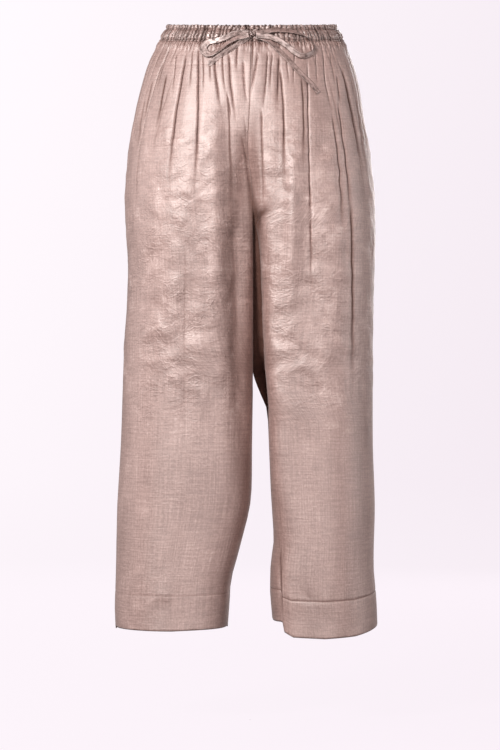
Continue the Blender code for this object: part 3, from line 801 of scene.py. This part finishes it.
# silk: a brown ground under a strong pale gloss, with thick and thin threads both ways
silkSetups = {
    "silk": {"dark": (0.235, 0.122, 0.102), "light": (0.400, 0.238, 0.208),
             "pale": (0.58, 0.42, 0.385), "gloss": 2.8,
             "slit": (0.075, 0.028, 0.018), "roughness": 0.57, "bump": 0.00012,
             "crushed": 0.00040},
    "bandSilk": {"dark": (0.21, 0.11, 0.092), "light": (0.48, 0.295, 0.26),
                 "pale": (0.66, 0.48, 0.44), "gloss": 3.1,
                 "slit": (0.022, 0.006, 0.003), "roughness": 0.37, "bump": 0.00012,
                 "crushed": 0},
    "tieSilk": {"dark": (0.22, 0.12, 0.102), "light": (0.45, 0.28, 0.25),
                "pale": (0.62, 0.44, 0.40), "gloss": 3.0,
                "slit": (0.022, 0.008, 0.005), "roughness": 0.40, "bump": 0.00010,
                "crushed": 0},
}
# noises on the grain: turns a metre across and along, detail, and the ends of its spread
threadSetups = {"warp": (430, 16, 2, 0.32, 0.68), "weft": (20, 520, 2, 0.32, 0.68),
                "slubs": (34, 300, 1, 0.56, 0.72), "mottle": (230, 260, 3, 0.3, 0.7),
                "cloud": (14, 11, 3, 0.3, 0.7), "bloom": (26, 38, 5, 0.5, 0.66)}
# ridges of crushed silk, coarse to fine: turns a metre across and along, and how sharp
ridgeSetups = {"coarse": (24, 46, 12), "middle": (52, 92, 10), "fine": (110, 150, 8)}


def makeMaterial(name, looks):
    # looks is called with two makers of nodes, and returns what goes into the main shader
    material = bpy.data.materials.new(name)
    material.use_nodes = True
    tree = material.node_tree

    def fill(made, inputs):
        for key, value in inputs.items():
            if isinstance(value, bpy.types.NodeSocket):
                tree.links.new(value, made.inputs[key])
            else:
                made.inputs[key].default_value = value

    def node(kind, output, inputs={}, **settings):
        # inputs are values, or outputs of other nodes
        made = tree.nodes.new("ShaderNode" + kind)
        for key, value in settings.items():
            setattr(made, key, value)
        fill(made, inputs)
        return made.outputs[output]

    def ramp(value, *stops):
        made = tree.nodes.new("ShaderNodeValToRGB")
        fill(made, {"Fac": value})
        elements = made.color_ramp.elements
        for number, (place, colour) in enumerate(stops):
            stop = elements[number] if number < 2 else elements.new(place)
            stop.position = place
            stop.color = (*colour, 1)
        return made.outputs["Color"]

    fill(tree.nodes["Principled BSDF"], looks(node, ramp))
    return material


def silkLooks(setup, node, ramp):
    # paler and glossier where its threads stand out, and dark and dull in the slits
    grain = node("UVMap", "UV", uv_map="grain")
    crushed = node("Attribute", "Fac", attribute_name="crush")
    cavity = node("Attribute", "Fac", attribute_name="cavity")

    def noise(across, along, detail, distortion=0):
        # across and along are turns a metre
        scaled = node("Mapping", "Vector", {"Vector": grain, "Scale": (across, along, 1)})
        return node("TexNoise", "Fac", {"Vector": scaled, "Scale": 1, "Detail": detail,
                                        "Distortion": distortion})

    def threads(across, along, detail, low, high):
        # noise drawn out along one set of threads
        return node("MapRange", "Result", {"Value": noise(across, along, detail),
                                           "From Min": low, "From Max": high})

    def multiply(one, other):
        return node("Math", 0, {0: one, 1: other}, operation="MULTIPLY")

    def add(one, share, other, otherShare):
        return node("Math", 0, {0: other, 1: otherShare, 2: multiply(one, share)},
                    operation="MULTIPLY_ADD")

    def wave(direction):
        return node("TexWave", "Fac", {"Vector": grain, "Scale": 420, "Distortion": 1.5},
                    wave_type="BANDS", bands_direction=direction)

    def ridges(across, along, sharp):
        # thin crooked ridges, where a noise crosses its middle value
        apart = node("Math", 0, {0: noise(across, along, 2.5, 0.9), 1: 0.5},
                     operation="SUBTRACT")
        far = node("Math", 0, {0: apart}, operation="ABSOLUTE")
        return node("MapRange", "Result", {"Value": far, "From Max": 1 / sharp, "To Min": 1,
                                           "To Max": 0}, interpolation_type="SMOOTHSTEP")

    warp, weft, slubs, mottle, cloud, bloom = (threads(*row) for row in threadSetups.values())
    threadsBoth = add(warp, 0.5, weft, 0.5)
    tone = add(threadsBoth, 0.5, add(mottle, 0.55, cloud, 0.45), 0.5)
    colour = ramp(add(tone, 1.0, multiply(bloom, crushed), 0.22),
                  (0.32, setup["dark"]), (0.68, setup["light"]), (1.0, setup["pale"]))
    shaded = node("Mix", "Result", {"Factor": cavity, "A": colour, "B": (*setup["slit"], 1)},
                  data_type="RGBA")
    rough = node("MapRange", "Result", {"Value": tone, "To Min": setup["roughness"] - 0.07,
                                        "To Max": setup["roughness"] + 0.10})
    shine = node("MapRange", "Result", {"Value": cavity, "To Min": 0.5, "To Max": 0.03})
    height = add(add(threadsBoth, 0.5, slubs, 0.6), 1.0,
                 add(wave("X"), 0.5, wave("Y"), 0.5), 0.25)
    bump = {"Strength": 1.0, "Distance": setup["bump"], "Height": add(height, 1.0, mottle, 0.55)}
    if setup["crushed"]:
        # sharp little ridges where the silk is crushed
        coarse, middle, fine = (ridges(*row) for row in ridgeSetups.values())
        wrinkled = multiply(add(coarse, 0.5, add(middle, 0.7, fine, 0.3), 0.5), crushed)
        bump["Normal"] = node("Bump", "Normal", {"Strength": 1.0, "Distance": setup["crushed"],
                                                 "Height": wrinkled})
    return {"Base Color": shaded, "Roughness": add(rough, 1.0, cavity, 0.3),
            "Specular IOR Level": shine, "IOR": setup["gloss"],
            "Specular Tint": (1.0, 0.93, 0.90, 1), "Sheen Weight": 0.12,
            "Sheen Roughness": 0.4, "Normal": node("Bump", "Normal", bump)}


silks = {name: makeMaterial(name, partial(silkLooks, setup))
         for name, setup in silkSetups.items()}

# drawstring: x, z and the lift of the strip's middle off the cloth, then how far the strip
# turns on edge, in degrees
tieSetup = {"width": 8.2, "thick": 1.1, "steps": 10, "around": 20, "tip": 0.45, "taper": 6,
            "fold": 0.32, "foldWidth": 0.22, "pucker": (0.22, 0.15), "puff": 0.4,
            "puffX": -67, "puffWide": 8}
knotSetup = {"x": 3.7, "z": -12.0, "lift": 5.9, "size": (9.0, 5.8, 8.0), "rows": 28,
             "columns": 40, "scale": 0.48, "fold": 0.28}
tieRoutes = {
    "bowLoopRight": (
        (-1.7, -11.9, 4.9, 20), (-9.4, -11.5, 4.9, 25), (-22.6, -12.0, 4.9, 30),
        (-32.3, -16.4, 4.9, 25), (-42.5, -20.2, 4.9, 20), (-51.3, -22.5, 4.9, 10),
        (-61.6, -23.8, 4.9, 0), (-68.3, -31.8, 4.9, 0), (-66.0, -39.1, 5.1, 0),
        (-59.3, -42.6, 5.5, 5), (-49.9, -39.2, 6.0, 15), (-42.5, -34.1, 6.3, 25),
        (-33.0, -26.2, 6.4, 25), (-22.6, -20.4, 6.4, 20), (-9.4, -16.4, 6.4, 10),
        (-1.7, -14.2, 6.4, 0)),
    "bowLoopLeft": (
        (9.1, -11.9, 4.9, 0), (23.5, -9.2, 4.9, 10), (36.7, -6.4, 4.9, 15),
        (55.7, -6.9, 4.9, 20), (68.9, -9.3, 4.9, 35), (80.7, -13.5, 4.9, 45),
        (91.0, -22.3, 4.9, 50), (95.4, -31.8, 5.0, 50), (91.0, -39.8, 5.3, 45),
        (82.2, -44.2, 5.7, 40), (74.8, -44.2, 6.0, 35), (66.0, -39.8, 6.2, 30),
        (55.7, -31.5, 6.4, 30), (42.5, -22.3, 6.4, 25), (32.3, -17.9, 6.4, 20),
        (20.5, -15.8, 6.4, 10), (9.1, -14.2, 6.4, 0)),
    "tieEndRight": (
        (-1.7, -16.0, 3.5, 20), (-10.3, -23.0, 3.5, 30), (-20.5, -30.4, 3.5, 35),
        (-32.3, -37.7, 3.3, 40), (-42.5, -44.3, 3.0, 40), (-52.8, -52.4, 2.6, 35),
        (-60.1, -59.7, 2.4, 30)),
    "tieEndLeft": (
        (9.1, -16.0, 3.5, 0), (17.6, -18.4, 3.5, 5), (26.4, -22.4, 3.5, 10),
        (33.7, -28.9, 3.5, 5), (42.5, -37.7, 3.3, 0), (55.7, -50.9, 3.0, 0),
        (68.9, -65.6, 2.6, 0), (82.2, -78.8, 2.4, 0), (92.4, -89.0, 2.4, 0),
        (99.8, -99.3, 2.4, 0)),
}


def frontY(x, z):
    # the y of the cloth's outline in front, at an x and a level height
    side = right if x < readCurve(middles, middleColumns, "x", np.array(float(z))) else left
    level = np.array(float(z))
    y = 0.0
    for _ in range(6):
        middle, centre, half = legOval(side, front, level)
        wide = np.clip((side * (x - middle) - centre) / half, -1.0, 1.0)
        power = cut["outerPower"] if wide > 0 else innerPower(front, level)
        y = -legDepth(side, front, level) * (1 - np.abs(wide) ** power) ** (1 / power)
        level = z - tilt(y, level)
    return float(y)


def frontFacing(x, z):
    step = 2.0
    slopeX = (frontY(x + step, z) - frontY(x - step, z)) / (2 * step)
    slopeZ = (frontY(x, z + step) - frontY(x, z - step)) / (2 * step)
    return Vector((slopeX, -1, slopeZ)).normalized()


def smoothRoute(route, steps):
    # a Catmull-Rom curve through the route's points, with the turn carried along
    points = [Vector((x, frontY(x, z) - lift, z, turn)) for x, z, lift, turn in route]
    ends = [points[0] * 2 - points[1]] + points + [points[-1] * 2 - points[-2]]
    curve = []
    for a, b, c, d in zip(ends, ends[1:], ends[2:], ends[3:]):
        for step in range(steps):
            t = step / steps
            curve.append(0.5 * (2 * b + (c - a) * t + (2 * a - 5 * b + 4 * c - d) * t**2
                                + (3 * b - a - 3 * c + d) * t**3))
    return curve + [points[-1]]


def makeTie(name, route, pointed):
    # a flat sewn strip: rounded edges, a lengthwise fold down its middle, faint puckers
    curve = smoothRoute(route, tieSetup["steps"])
    around = tieSetup["around"]
    rings, grain, shade, walked = [], [], [], 0.0
    for i, here in enumerate(curve):
        point = here.xyz
        before, after = curve[max(i - 1, 0)].xyz, curve[min(i + 1, len(curve) - 1)].xyz
        walked += (point - before).length
        along = (after - before).normalized()
        across = along.cross(frontFacing(point.x, point.z)).normalized()
        out = across.cross(along).normalized()
        turn = math.radians(here.w)
        wideWay = across * math.cos(turn) + out * math.sin(turn)
        deepWay = out * math.cos(turn) - across * math.sin(turn)
        fromEnd = (len(curve) - 1 - i) / len(curve)
        width = tieSetup["width"]
        if pointed:
            width *= min(1.0, tieSetup["tip"] + fromEnd * tieSetup["taper"])
        if name == "bowLoopRight":
            width *= 1 + tieSetup["puff"] * bell(here.x - tieSetup["puffX"], tieSetup["puffWide"])
        longer, shorter = tieSetup["pucker"]
        pucker = longer * math.sin(walked * 1.9) + shorter * math.sin(walked * 3.7 + 1)
        ring = []
        for step in range(around):
            angle = 2 * math.pi * step / around
            w = math.copysign(abs(math.cos(angle)) ** 0.6, math.cos(angle))
            h = math.copysign(abs(math.sin(angle)) ** 0.8, math.sin(angle))
            fold = -tieSetup["fold"] * bell(w, tieSetup["foldWidth"]) * (1 if h > 0 else -1)
            deep = h * tieSetup["thick"] / 2 + fold * abs(h) + pucker * w * w * 0.6
            ring.append(point + wideWay * w * width / 2 + deepWay * deep)
            grain.append((step / around * tieSetup["width"] * 2, walked))
            patch = float(ease(0.35 + 1.8 * noises[1](walked / 7 + w, w * 1.4 + len(name))))
            shade.append(max(0.85 * bell(w + 0.15, 0.16) * (0.5 + 0.5 * patch),
                             0.8 * abs(w) ** 6, 0.75 * patch))
        rings.append([tuple(p) for p in ring])
    points = np.array(rings)
    piece = gridMesh(name, points, np.array(grain).reshape(len(curve), around, 2), closed=True,
                     flip=True, shades={"cavity": np.array(shade)})
    capEnds(piece, len(curve), around)
    path = [tuple(p.xyz * mm) for p in curve]
    length = sum((b.xyz - a.xyz).length for a, b in zip(curve, curve[1:])) * mm
    return piece, path, length


def capEnds(piece, rings, around):
    import bmesh
    bm = bmesh.new()
    bm.from_mesh(piece.data)
    bm.verts.ensure_lookup_table()
    for start in (0, (rings - 1) * around):
        bm.faces.new([bm.verts[start + i] for i in range(around)])
    bmesh.ops.recalc_face_normals(bm, faces=bm.faces[:])
    bm.to_mesh(piece.data)
    bm.free()
    piece.data.shade_smooth()


def makeKnot(setup):
    # the tie wrapped over itself: a plump square knot with a diagonal fold
    rows, columns = setup["rows"], setup["columns"]
    u = np.linspace(0, 2 * math.pi, columns, endpoint=False)[None, :]
    v = np.linspace(0.02, math.pi - 0.02, rows)[:, None]
    sx = np.sin(v) * np.cos(u)
    sy = np.sin(v) * np.sin(u)
    sz = np.cos(v) + 0 * u
    reach = (np.abs(sx) ** 3 + np.abs(sy) ** 3 + np.abs(sz) ** 3) ** (-1 / 3)
    band = bell(sx * 0.8 + sz * 0.5, setup["fold"])
    wrap = 1 - 0.10 * np.cos(9 * (sx * 0.55 - sz)) - 0.12 * band
    points = np.stack([sx, sy, sz], axis=-1) * (reach * wrap)[..., None]
    points = points * np.array(setup["size"]) * setup["scale"]
    centre = np.array([setup["x"], frontY(setup["x"], setup["z"]) - setup["lift"], setup["z"]])
    grain = np.stack([np.broadcast_to(u * 4, (rows, columns)),
                      np.broadcast_to(v * 4, (rows, columns))], axis=-1)
    piece = gridMesh("drawstringKnot", points + centre, grain, closed=True, flip=True,
                     shades={"cavity": 0.25 + 0.65 * band})
    capEnds(piece, rows, columns)
    return piece


knot = makeKnot(knotSetup)
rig.ride(knot, "root")
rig.replaces(knot, "drawstring_knot")
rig.slot(knot, "tie_silk")
knot.data.materials.append(silks["tieSilk"])
tieNodes = {"bowLoopRight": "bow_loop_right", "bowLoopLeft": "bow_loop_left",
            "tieEndRight": "tie_end_right", "tieEndLeft": "tie_end_left"}
for tieName, tieRoute in tieRoutes.items():
    isLoop = tieName.startswith("bow")
    tie, tiePath, tieLength = makeTie(tieName, tieRoute, pointed=tieName == "tieEndRight")
    tie.data.materials.append(silks["tieSilk"])
    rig.ride(tie, "root")
    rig.replaces(tie, tieNodes[tieName])
    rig.slot(tie, "tie_silk")
    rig.cord(tie, exit=tiePath[0], length=round(tieLength, 3), diameter=tieSetup["width"] * mm,
            far_end="object" if isLoop else "bare", stiffness="limp",
            lay="loose" if isLoop else "hanging", path=tiePath,
            with_pieces=[knot] if tieName == "bowLoopLeft" else [])
    print("tie ready:", tieName, round(tieLength * 1000), "mm")

# waistband: frill, stitched line, elastic channel and gather line, from the top down
bandSetup = {"columns": 6, "rows": 40, "top": 12.0, "low": -12.1, "wall": 1.0, "dip": 7.5,
             "dipWidth": 16.0, "quarterSpan": 190, "grainStep": 1.7, "frill": 2.2, "edge": 1.8,
             "stitchShade": 0.16, "stitched": ((5.6, 0.8), (-9.8, 0.9))}
bandRows = (
    {"z": 12.0, "swell": 2.0, "valley": 2.9},
    {"z": 8.5, "swell": 1.2, "valley": 2.4},
    {"z": 5.6, "swell": -0.7, "valley": 1.1},
    {"z": 2.5, "swell": 1.3, "valley": 2.3},
    {"z": -2.0, "swell": 2.1, "valley": 2.8},
    {"z": -6.0, "swell": 1.4, "valley": 2.6},
    {"z": -9.6, "swell": -0.6, "valley": 1.2},
    {"z": -12.1, "swell": 0.6, "valley": 2.6},
)


def bandWave(side, face, along, level):
    # the gathers run up through the band, leaning and shifting from row to row
    total, cavity = np.zeros_like(level), np.zeros_like(level)
    span, count = bandSetup["quarterSpan"], gatherSetup["quarter"]
    lean = noises[2](along * 20 + side * 4.1, level / 6 + face * 3.3)
    extra = np.random.RandomState(70 + side + 3 * face).uniform(0, 1, (count, 2))
    for (place, depth, width), (second, other) in zip(gatherTable(side, face)[:, :3], extra):
        depth, other = max(depth, 0.8), 0.5 * other
        apart = (along - place) * span + 2.6 * lean
        total -= depth * bell(apart, 1.3 * width, 1.4)
        cavity = np.maximum(cavity, depth * bell(apart, 2.2 * width, 2.6))
        half = (along - place - 0.5 / count) * span + 2.0 * lean
        fades = ease(0.5 + 1.6 * noises[3](level / 7 + second * 9, level * 0 + other * 9))
        total -= 0.7 * other * fades * bell(half, 0.9, 1.4)
        cavity = np.maximum(cavity, other * fades * bell(half, 1.1, 1.8))
    return total, np.minimum(cavity, 1.0)


bandQuarters = ((right, front, True), (left, front, False), (left, back, True),
                (right, back, False))


def bandPoints(setup, z):
    # the band's surface at a column of heights, all the way round, and its cavities
    steps = gatherSetup["quarter"] * setup["columns"]
    heights, swells, valleys = ([row[key] for row in bandRows][::-1]
                                for key in ("z", "swell", "valley"))
    swell, valley = np.interp(z, heights, swells), np.interp(z, heights, valleys)
    stitched = sum(bell(z - line, tall) for line, tall in setup["stitched"])
    parts, cavities = [], []
    for side, face, forward in bandQuarters:
        column = np.arange(steps) if forward else steps - np.arange(steps)
        along = np.broadcast_to(column / steps, (len(z), steps))
        level = np.broadcast_to(z, along.shape)
        x, y, facingX, facingY, angle = outline(side, face, along, level)
        pucker = 0.8 * noises[2](along * 52 + side * 6, level / 2.6 + face * 4)
        wave, cavity = bandWave(side, face, along, level)
        out = swell + 1.5 * valley * (wave + 0.3) + pucker
        cavities.append(np.clip(cavity + setup["stitchShade"] * stitched, 0, 1))
        height = drop(side, face, angle, y, level)
        share = (level - setup["low"]) / (setup["top"] - setup["low"])
        if face == front:
            apart = x - knotSetup["x"]
            dipWidth = np.where(apart < 0, 2, 1) * setup["dipWidth"]
            height = height - setup["dip"] * share * bell(apart, dipWidth, 1.5)
        frill = setup["frill"] * share**3 * noises[3](along * 58 + side * 9, level * 0 + face)
        edge = setup["edge"] * (1 - share) ** 3 * noises[4](along * 50 + side * 9, level * 0)
        height = height + frill + edge
        parts.append(np.stack([x + facingX * out, y + facingY * out, height], axis=-1))
    return np.concatenate(parts, axis=1), np.hstack(cavities)


def makeBand(setup):
    z = np.linspace(setup["top"], setup["low"], setup["rows"])[:, None]
    points, cavity = bandPoints(setup, z)
    columns = points.shape[1]
    acrossGrain = np.broadcast_to(np.arange(columns) * setup["grainStep"],
                                  (setup["rows"], columns))
    grain = np.stack([acrossGrain, np.broadcast_to(z, acrossGrain.shape)], axis=-1)
    band = gridMesh("waistband", points, grain, closed=True, shades={"cavity": cavity})
    thicken(band, setup["wall"])
    return band


band = makeBand(bandSetup)
band.data.materials.append(silks["bandSilk"])
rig.ride(band, "root")
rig.replaces(band, "waistband")
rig.slot(band, "band_silk")
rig.sheet(band, flat=(1.15, 0.026), held="gathered")
print("waistband ready")

# leg panels, each one cut piece from the band to the hem, turned up inside at the hem
panelSetup = {"columns": {front: 280, back: 230}, "wall": 0.8, "cutWidth": 400, "crowd": 0.35,
              "turnUp": 12, "turnUpIn": 1.7}
lowRows = ((-540, -830, 14), (-830, -848, 10), (-848, -888, 4), (-888, -891, 3))
panelRows = {front: ((-12.25, -60, 26), (-60, -300, 60), (-300, -540, 40), *lowRows),
             back: ((-12.25, -60, 24), (-60, -300, 58), (-300, -540, 36), *lowRows)}
panelSheets = {front: (0.36, 0.99), back: (0.38, 1.0)}


def makePanel(name, side, face):
    stretches = panelRows[face]
    heights = np.concatenate([np.linspace(top, low, rows, endpoint=low == stretches[-1][1])
                              for top, low, rows in stretches])
    # columns crowd together where the panel faces forwards or backwards
    even = np.linspace(0, 1, panelSetup["columns"][face] + 1)
    along = even - panelSetup["crowd"] * np.sin(2 * math.pi * (even - 0.5)) / (2 * math.pi)
    z, alongs = np.meshgrid(heights, along, indexing="ij")
    points, shades = clothPoints(side, face, alongs, z)
    inside = np.linspace(cut["hemLevel"] + 1, hemStitch, panelSetup["turnUp"])
    upZ, upAlongs = np.meshgrid(inside, along, indexing="ij")
    turnUp = clothPoints(side, face, upAlongs, upZ, out=-panelSetup["turnUpIn"])[0]
    points = np.concatenate([points, turnUp])
    walk = np.concatenate([z, 2 * cut["hemLevel"] - upZ])
    alongs = np.concatenate([alongs, upAlongs])
    grain = np.stack([alongs * panelSetup["cutWidth"] + 500 * side + 200 * face, walk], axis=-1)
    panel = gridMesh(name, points, grain, flip=side * face == front,
                     shades={shadeName: np.concatenate([values, upZ * 0])
                             for shadeName, values in shades.items()})
    panel.data.materials.append(silks["silk"])
    thicken(panel, panelSetup["wall"])
    return panel


for side in (right, left):
    for face in (front, back):
        panelName = faceNames[face] + sideNames[side].capitalize()
        panel = makePanel(panelName, side, face)
        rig.ride(panel, "root")
        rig.replaces(panel, faceNames[face] + "_" + sideNames[side])
        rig.slot(panel, "silk")
        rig.sheet(panel, flat=panelSheets[face], held="gathered")
        print("panel ready:", panelName)

# sewing: short stitches along the band's two lines and each hem, joined in one piece
stitchSetup = {"long": 2.5, "gap": 0.9, "thick": 0.34, "tip": 0.45, "lift": 0.12,
               "bandLift": 0.22, "colour": (0.20, 0.11, 0.09)}


def stitchLine(line, setup):
    # tapered four-sided threads from a line of points, as rings for a mesh
    steps = np.linalg.norm(np.diff(line, axis=0), axis=1)
    walked = np.concatenate([[0], np.cumsum(steps)])
    starts = np.arange(0.5, walked[-1] - setup["long"], setup["long"] + setup["gap"])
    stitches = []
    for start in starts:
        places = start + setup["long"] * np.array([0.0, 0.25, 0.75, 1.0])
        spine = np.stack([np.interp(places, walked, line[:, i]) for i in range(3)], axis=-1)
        along = spine[-1] - spine[0]
        along /= np.linalg.norm(along)
        up = np.array([0.0, 0.0, 1.0]) - along * along[2]
        up /= np.linalg.norm(up)
        out = np.cross(along, up)
        radii = setup["thick"] / 2 * np.array([setup["tip"], 1.0, 1.0, setup["tip"]])
        stitches.append([spine[i] + radii[i] * way for i in range(4)
                         for way in (up, out, -up, -out)])
    return stitches


def makeStitches(lines, setup):
    stitches = [stitch for line in lines for stitch in stitchLine(line, setup)]
    faces = []
    for number in range(len(stitches)):
        start = number * 16
        for ring in range(3):
            for side in range(4):
                here, after = start + ring * 4 + side, start + ring * 4 + (side + 1) % 4
                faces.append((here, after, after + 4, here + 4))
        faces.append((start + 3, start + 2, start + 1, start))
        faces.append((start + 12, start + 13, start + 14, start + 15))
    mesh = bpy.data.meshes.new("stitching")
    mesh.from_pydata((np.array(stitches).reshape(-1, 3) * mm).tolist(), [], faces)
    mesh.shade_smooth()
    mesh.materials.append(makeMaterial("thread", lambda node, ramp: {
        "Base Color": (*setup["colour"], 1), "Roughness": 0.55, "Sheen Weight": 0.2}))
    return addObject("stitching", mesh)


stitchLines = []
for bandLevel, tall in bandSetup["stitched"]:
    ring = bandPoints(bandSetup, np.array([[bandLevel]]))[0][0]
    outwards = (ring - ring.mean(axis=0)) * (1, 1, 0)
    outwards /= np.linalg.norm(outwards, axis=1)[:, None]
    stitchLines.append(ring + outwards * stitchSetup["bandLift"])
for side in (right, left):
    for face in (front, back):
        hemAlong = np.linspace(0.006, 0.994, 400)[None, :]
        hemZ = np.full_like(hemAlong, hemStitch)
        stitchLines.append(clothPoints(side, face, hemAlong, hemZ, out=stitchSetup["lift"])[0][0])
stitching = makeStitches(stitchLines, stitchSetup)
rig.ride(stitching, "root")
print("stitching ready")

# studio: a pale round sweep that the camera sees and the cloth doesn't, a soft light above the
# camera's left, a broad low fill, and a light from each side and from behind
studioSetup = {"floor": -1030, "radius": 12000, "curve": 2500, "tall": 9000, "sides": 96,
               "curveSteps": 12, "lean": (0.17, 0.0, -0.06), "shift": 0.42, "glow": 1.03,
               "paper": (0.02, 0.018, 0.02), "pale": (1.0, 0.95, 0.985),
               "dark": (0.83, 0.74, 0.81), "aim": (0, 0, -400)}


def paperLooks(setup, node, ramp):
    # its own light, a little paler to the camera's left and upwards
    lean = node("VectorMath", "Value", {0: node("TexCoord", "Object"), 1: setup["lean"]},
                operation="DOT_PRODUCT")
    shift = node("Math", 0, {0: lean, 1: setup["shift"]})
    return {"Base Color": (*setup["paper"], 1), "Roughness": 1.0, "Specular IOR Level": 0.0,
            "Emission Color": ramp(shift, (0.0, setup["pale"]), (1.0, setup["dark"])),
            "Emission Strength": setup["glow"]}


def makeSweep(setup):
    profile = [(1.0, 0.0), (setup["radius"] - setup["curve"], 0.0)]
    for step in range(1, setup["curveSteps"] + 1):
        turn = math.pi / 2 * step / setup["curveSteps"]
        profile.append((setup["radius"] - setup["curve"] * (1 - math.sin(turn)),
                        setup["curve"] * (1 - math.cos(turn))))
    profile.append((setup["radius"], setup["tall"]))
    turns = [2 * math.pi * side / setup["sides"] for side in range(setup["sides"])]
    points = np.array([[(reach * math.cos(turn), reach * math.sin(turn), setup["floor"] + z)
                        for turn in turns] for reach, z in profile])
    sweep = gridMesh("sweep", points, points[..., :2], closed=True, flip=True)
    sweep.data.materials.append(makeMaterial("paper", partial(paperLooks, setup)))
    sweep.visible_diffuse = False
    sweep.visible_glossy = False
    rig.stage(sweep)


# area lights: place, size, power and colour
lights = {
    "keyLight": ((-1500, -2500, 1050), 650, 114, (1.0, 0.99, 0.98)),
    "fillLight": ((900, -3500, -50), 2200, 44, (1.0, 0.97, 0.96)),
    "leftLight": ((-3000, 300, 300), 1600, 26, (1.0, 0.98, 0.98)),
    "rightLight": ((3000, -300, 0), 1600, 26, (1.0, 0.97, 0.97)),
    "backLight": ((900, 3000, 500), 1600, 90, (1.0, 0.98, 0.99)),
}


def makeLight(name, place, size, power, colour):
    data = bpy.data.lights.new(name, "AREA")
    data.shape = "SQUARE"
    data.size = size * mm
    data.energy = power
    data.color = colour
    light = addObject(name, data)
    light.visible_camera = False
    light.location = Vector(place) * mm
    aim = Vector(studioSetup["aim"]) * mm
    light.rotation_euler = (aim - light.location).to_track_quat("-Z", "Y").to_euler()


makeSweep(studioSetup)
for name, light in lights.items():
    makeLight(name, *light)
world = bpy.data.worlds.new("studio")
world.use_nodes = True
background = world.node_tree.nodes["Background"]
background.inputs["Color"].default_value = (0.95, 0.93, 0.95, 1)
background.inputs["Strength"].default_value = 0.18
bpy.context.scene.world = world
print("studio ready")

with open("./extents.json", "w") as sizeFile:
    json.dump({"cad": [list(map(float, corner)) for corner in cadBox],
               "visual": [list(map(float, corner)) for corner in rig.bounds()]}, sizeFile)
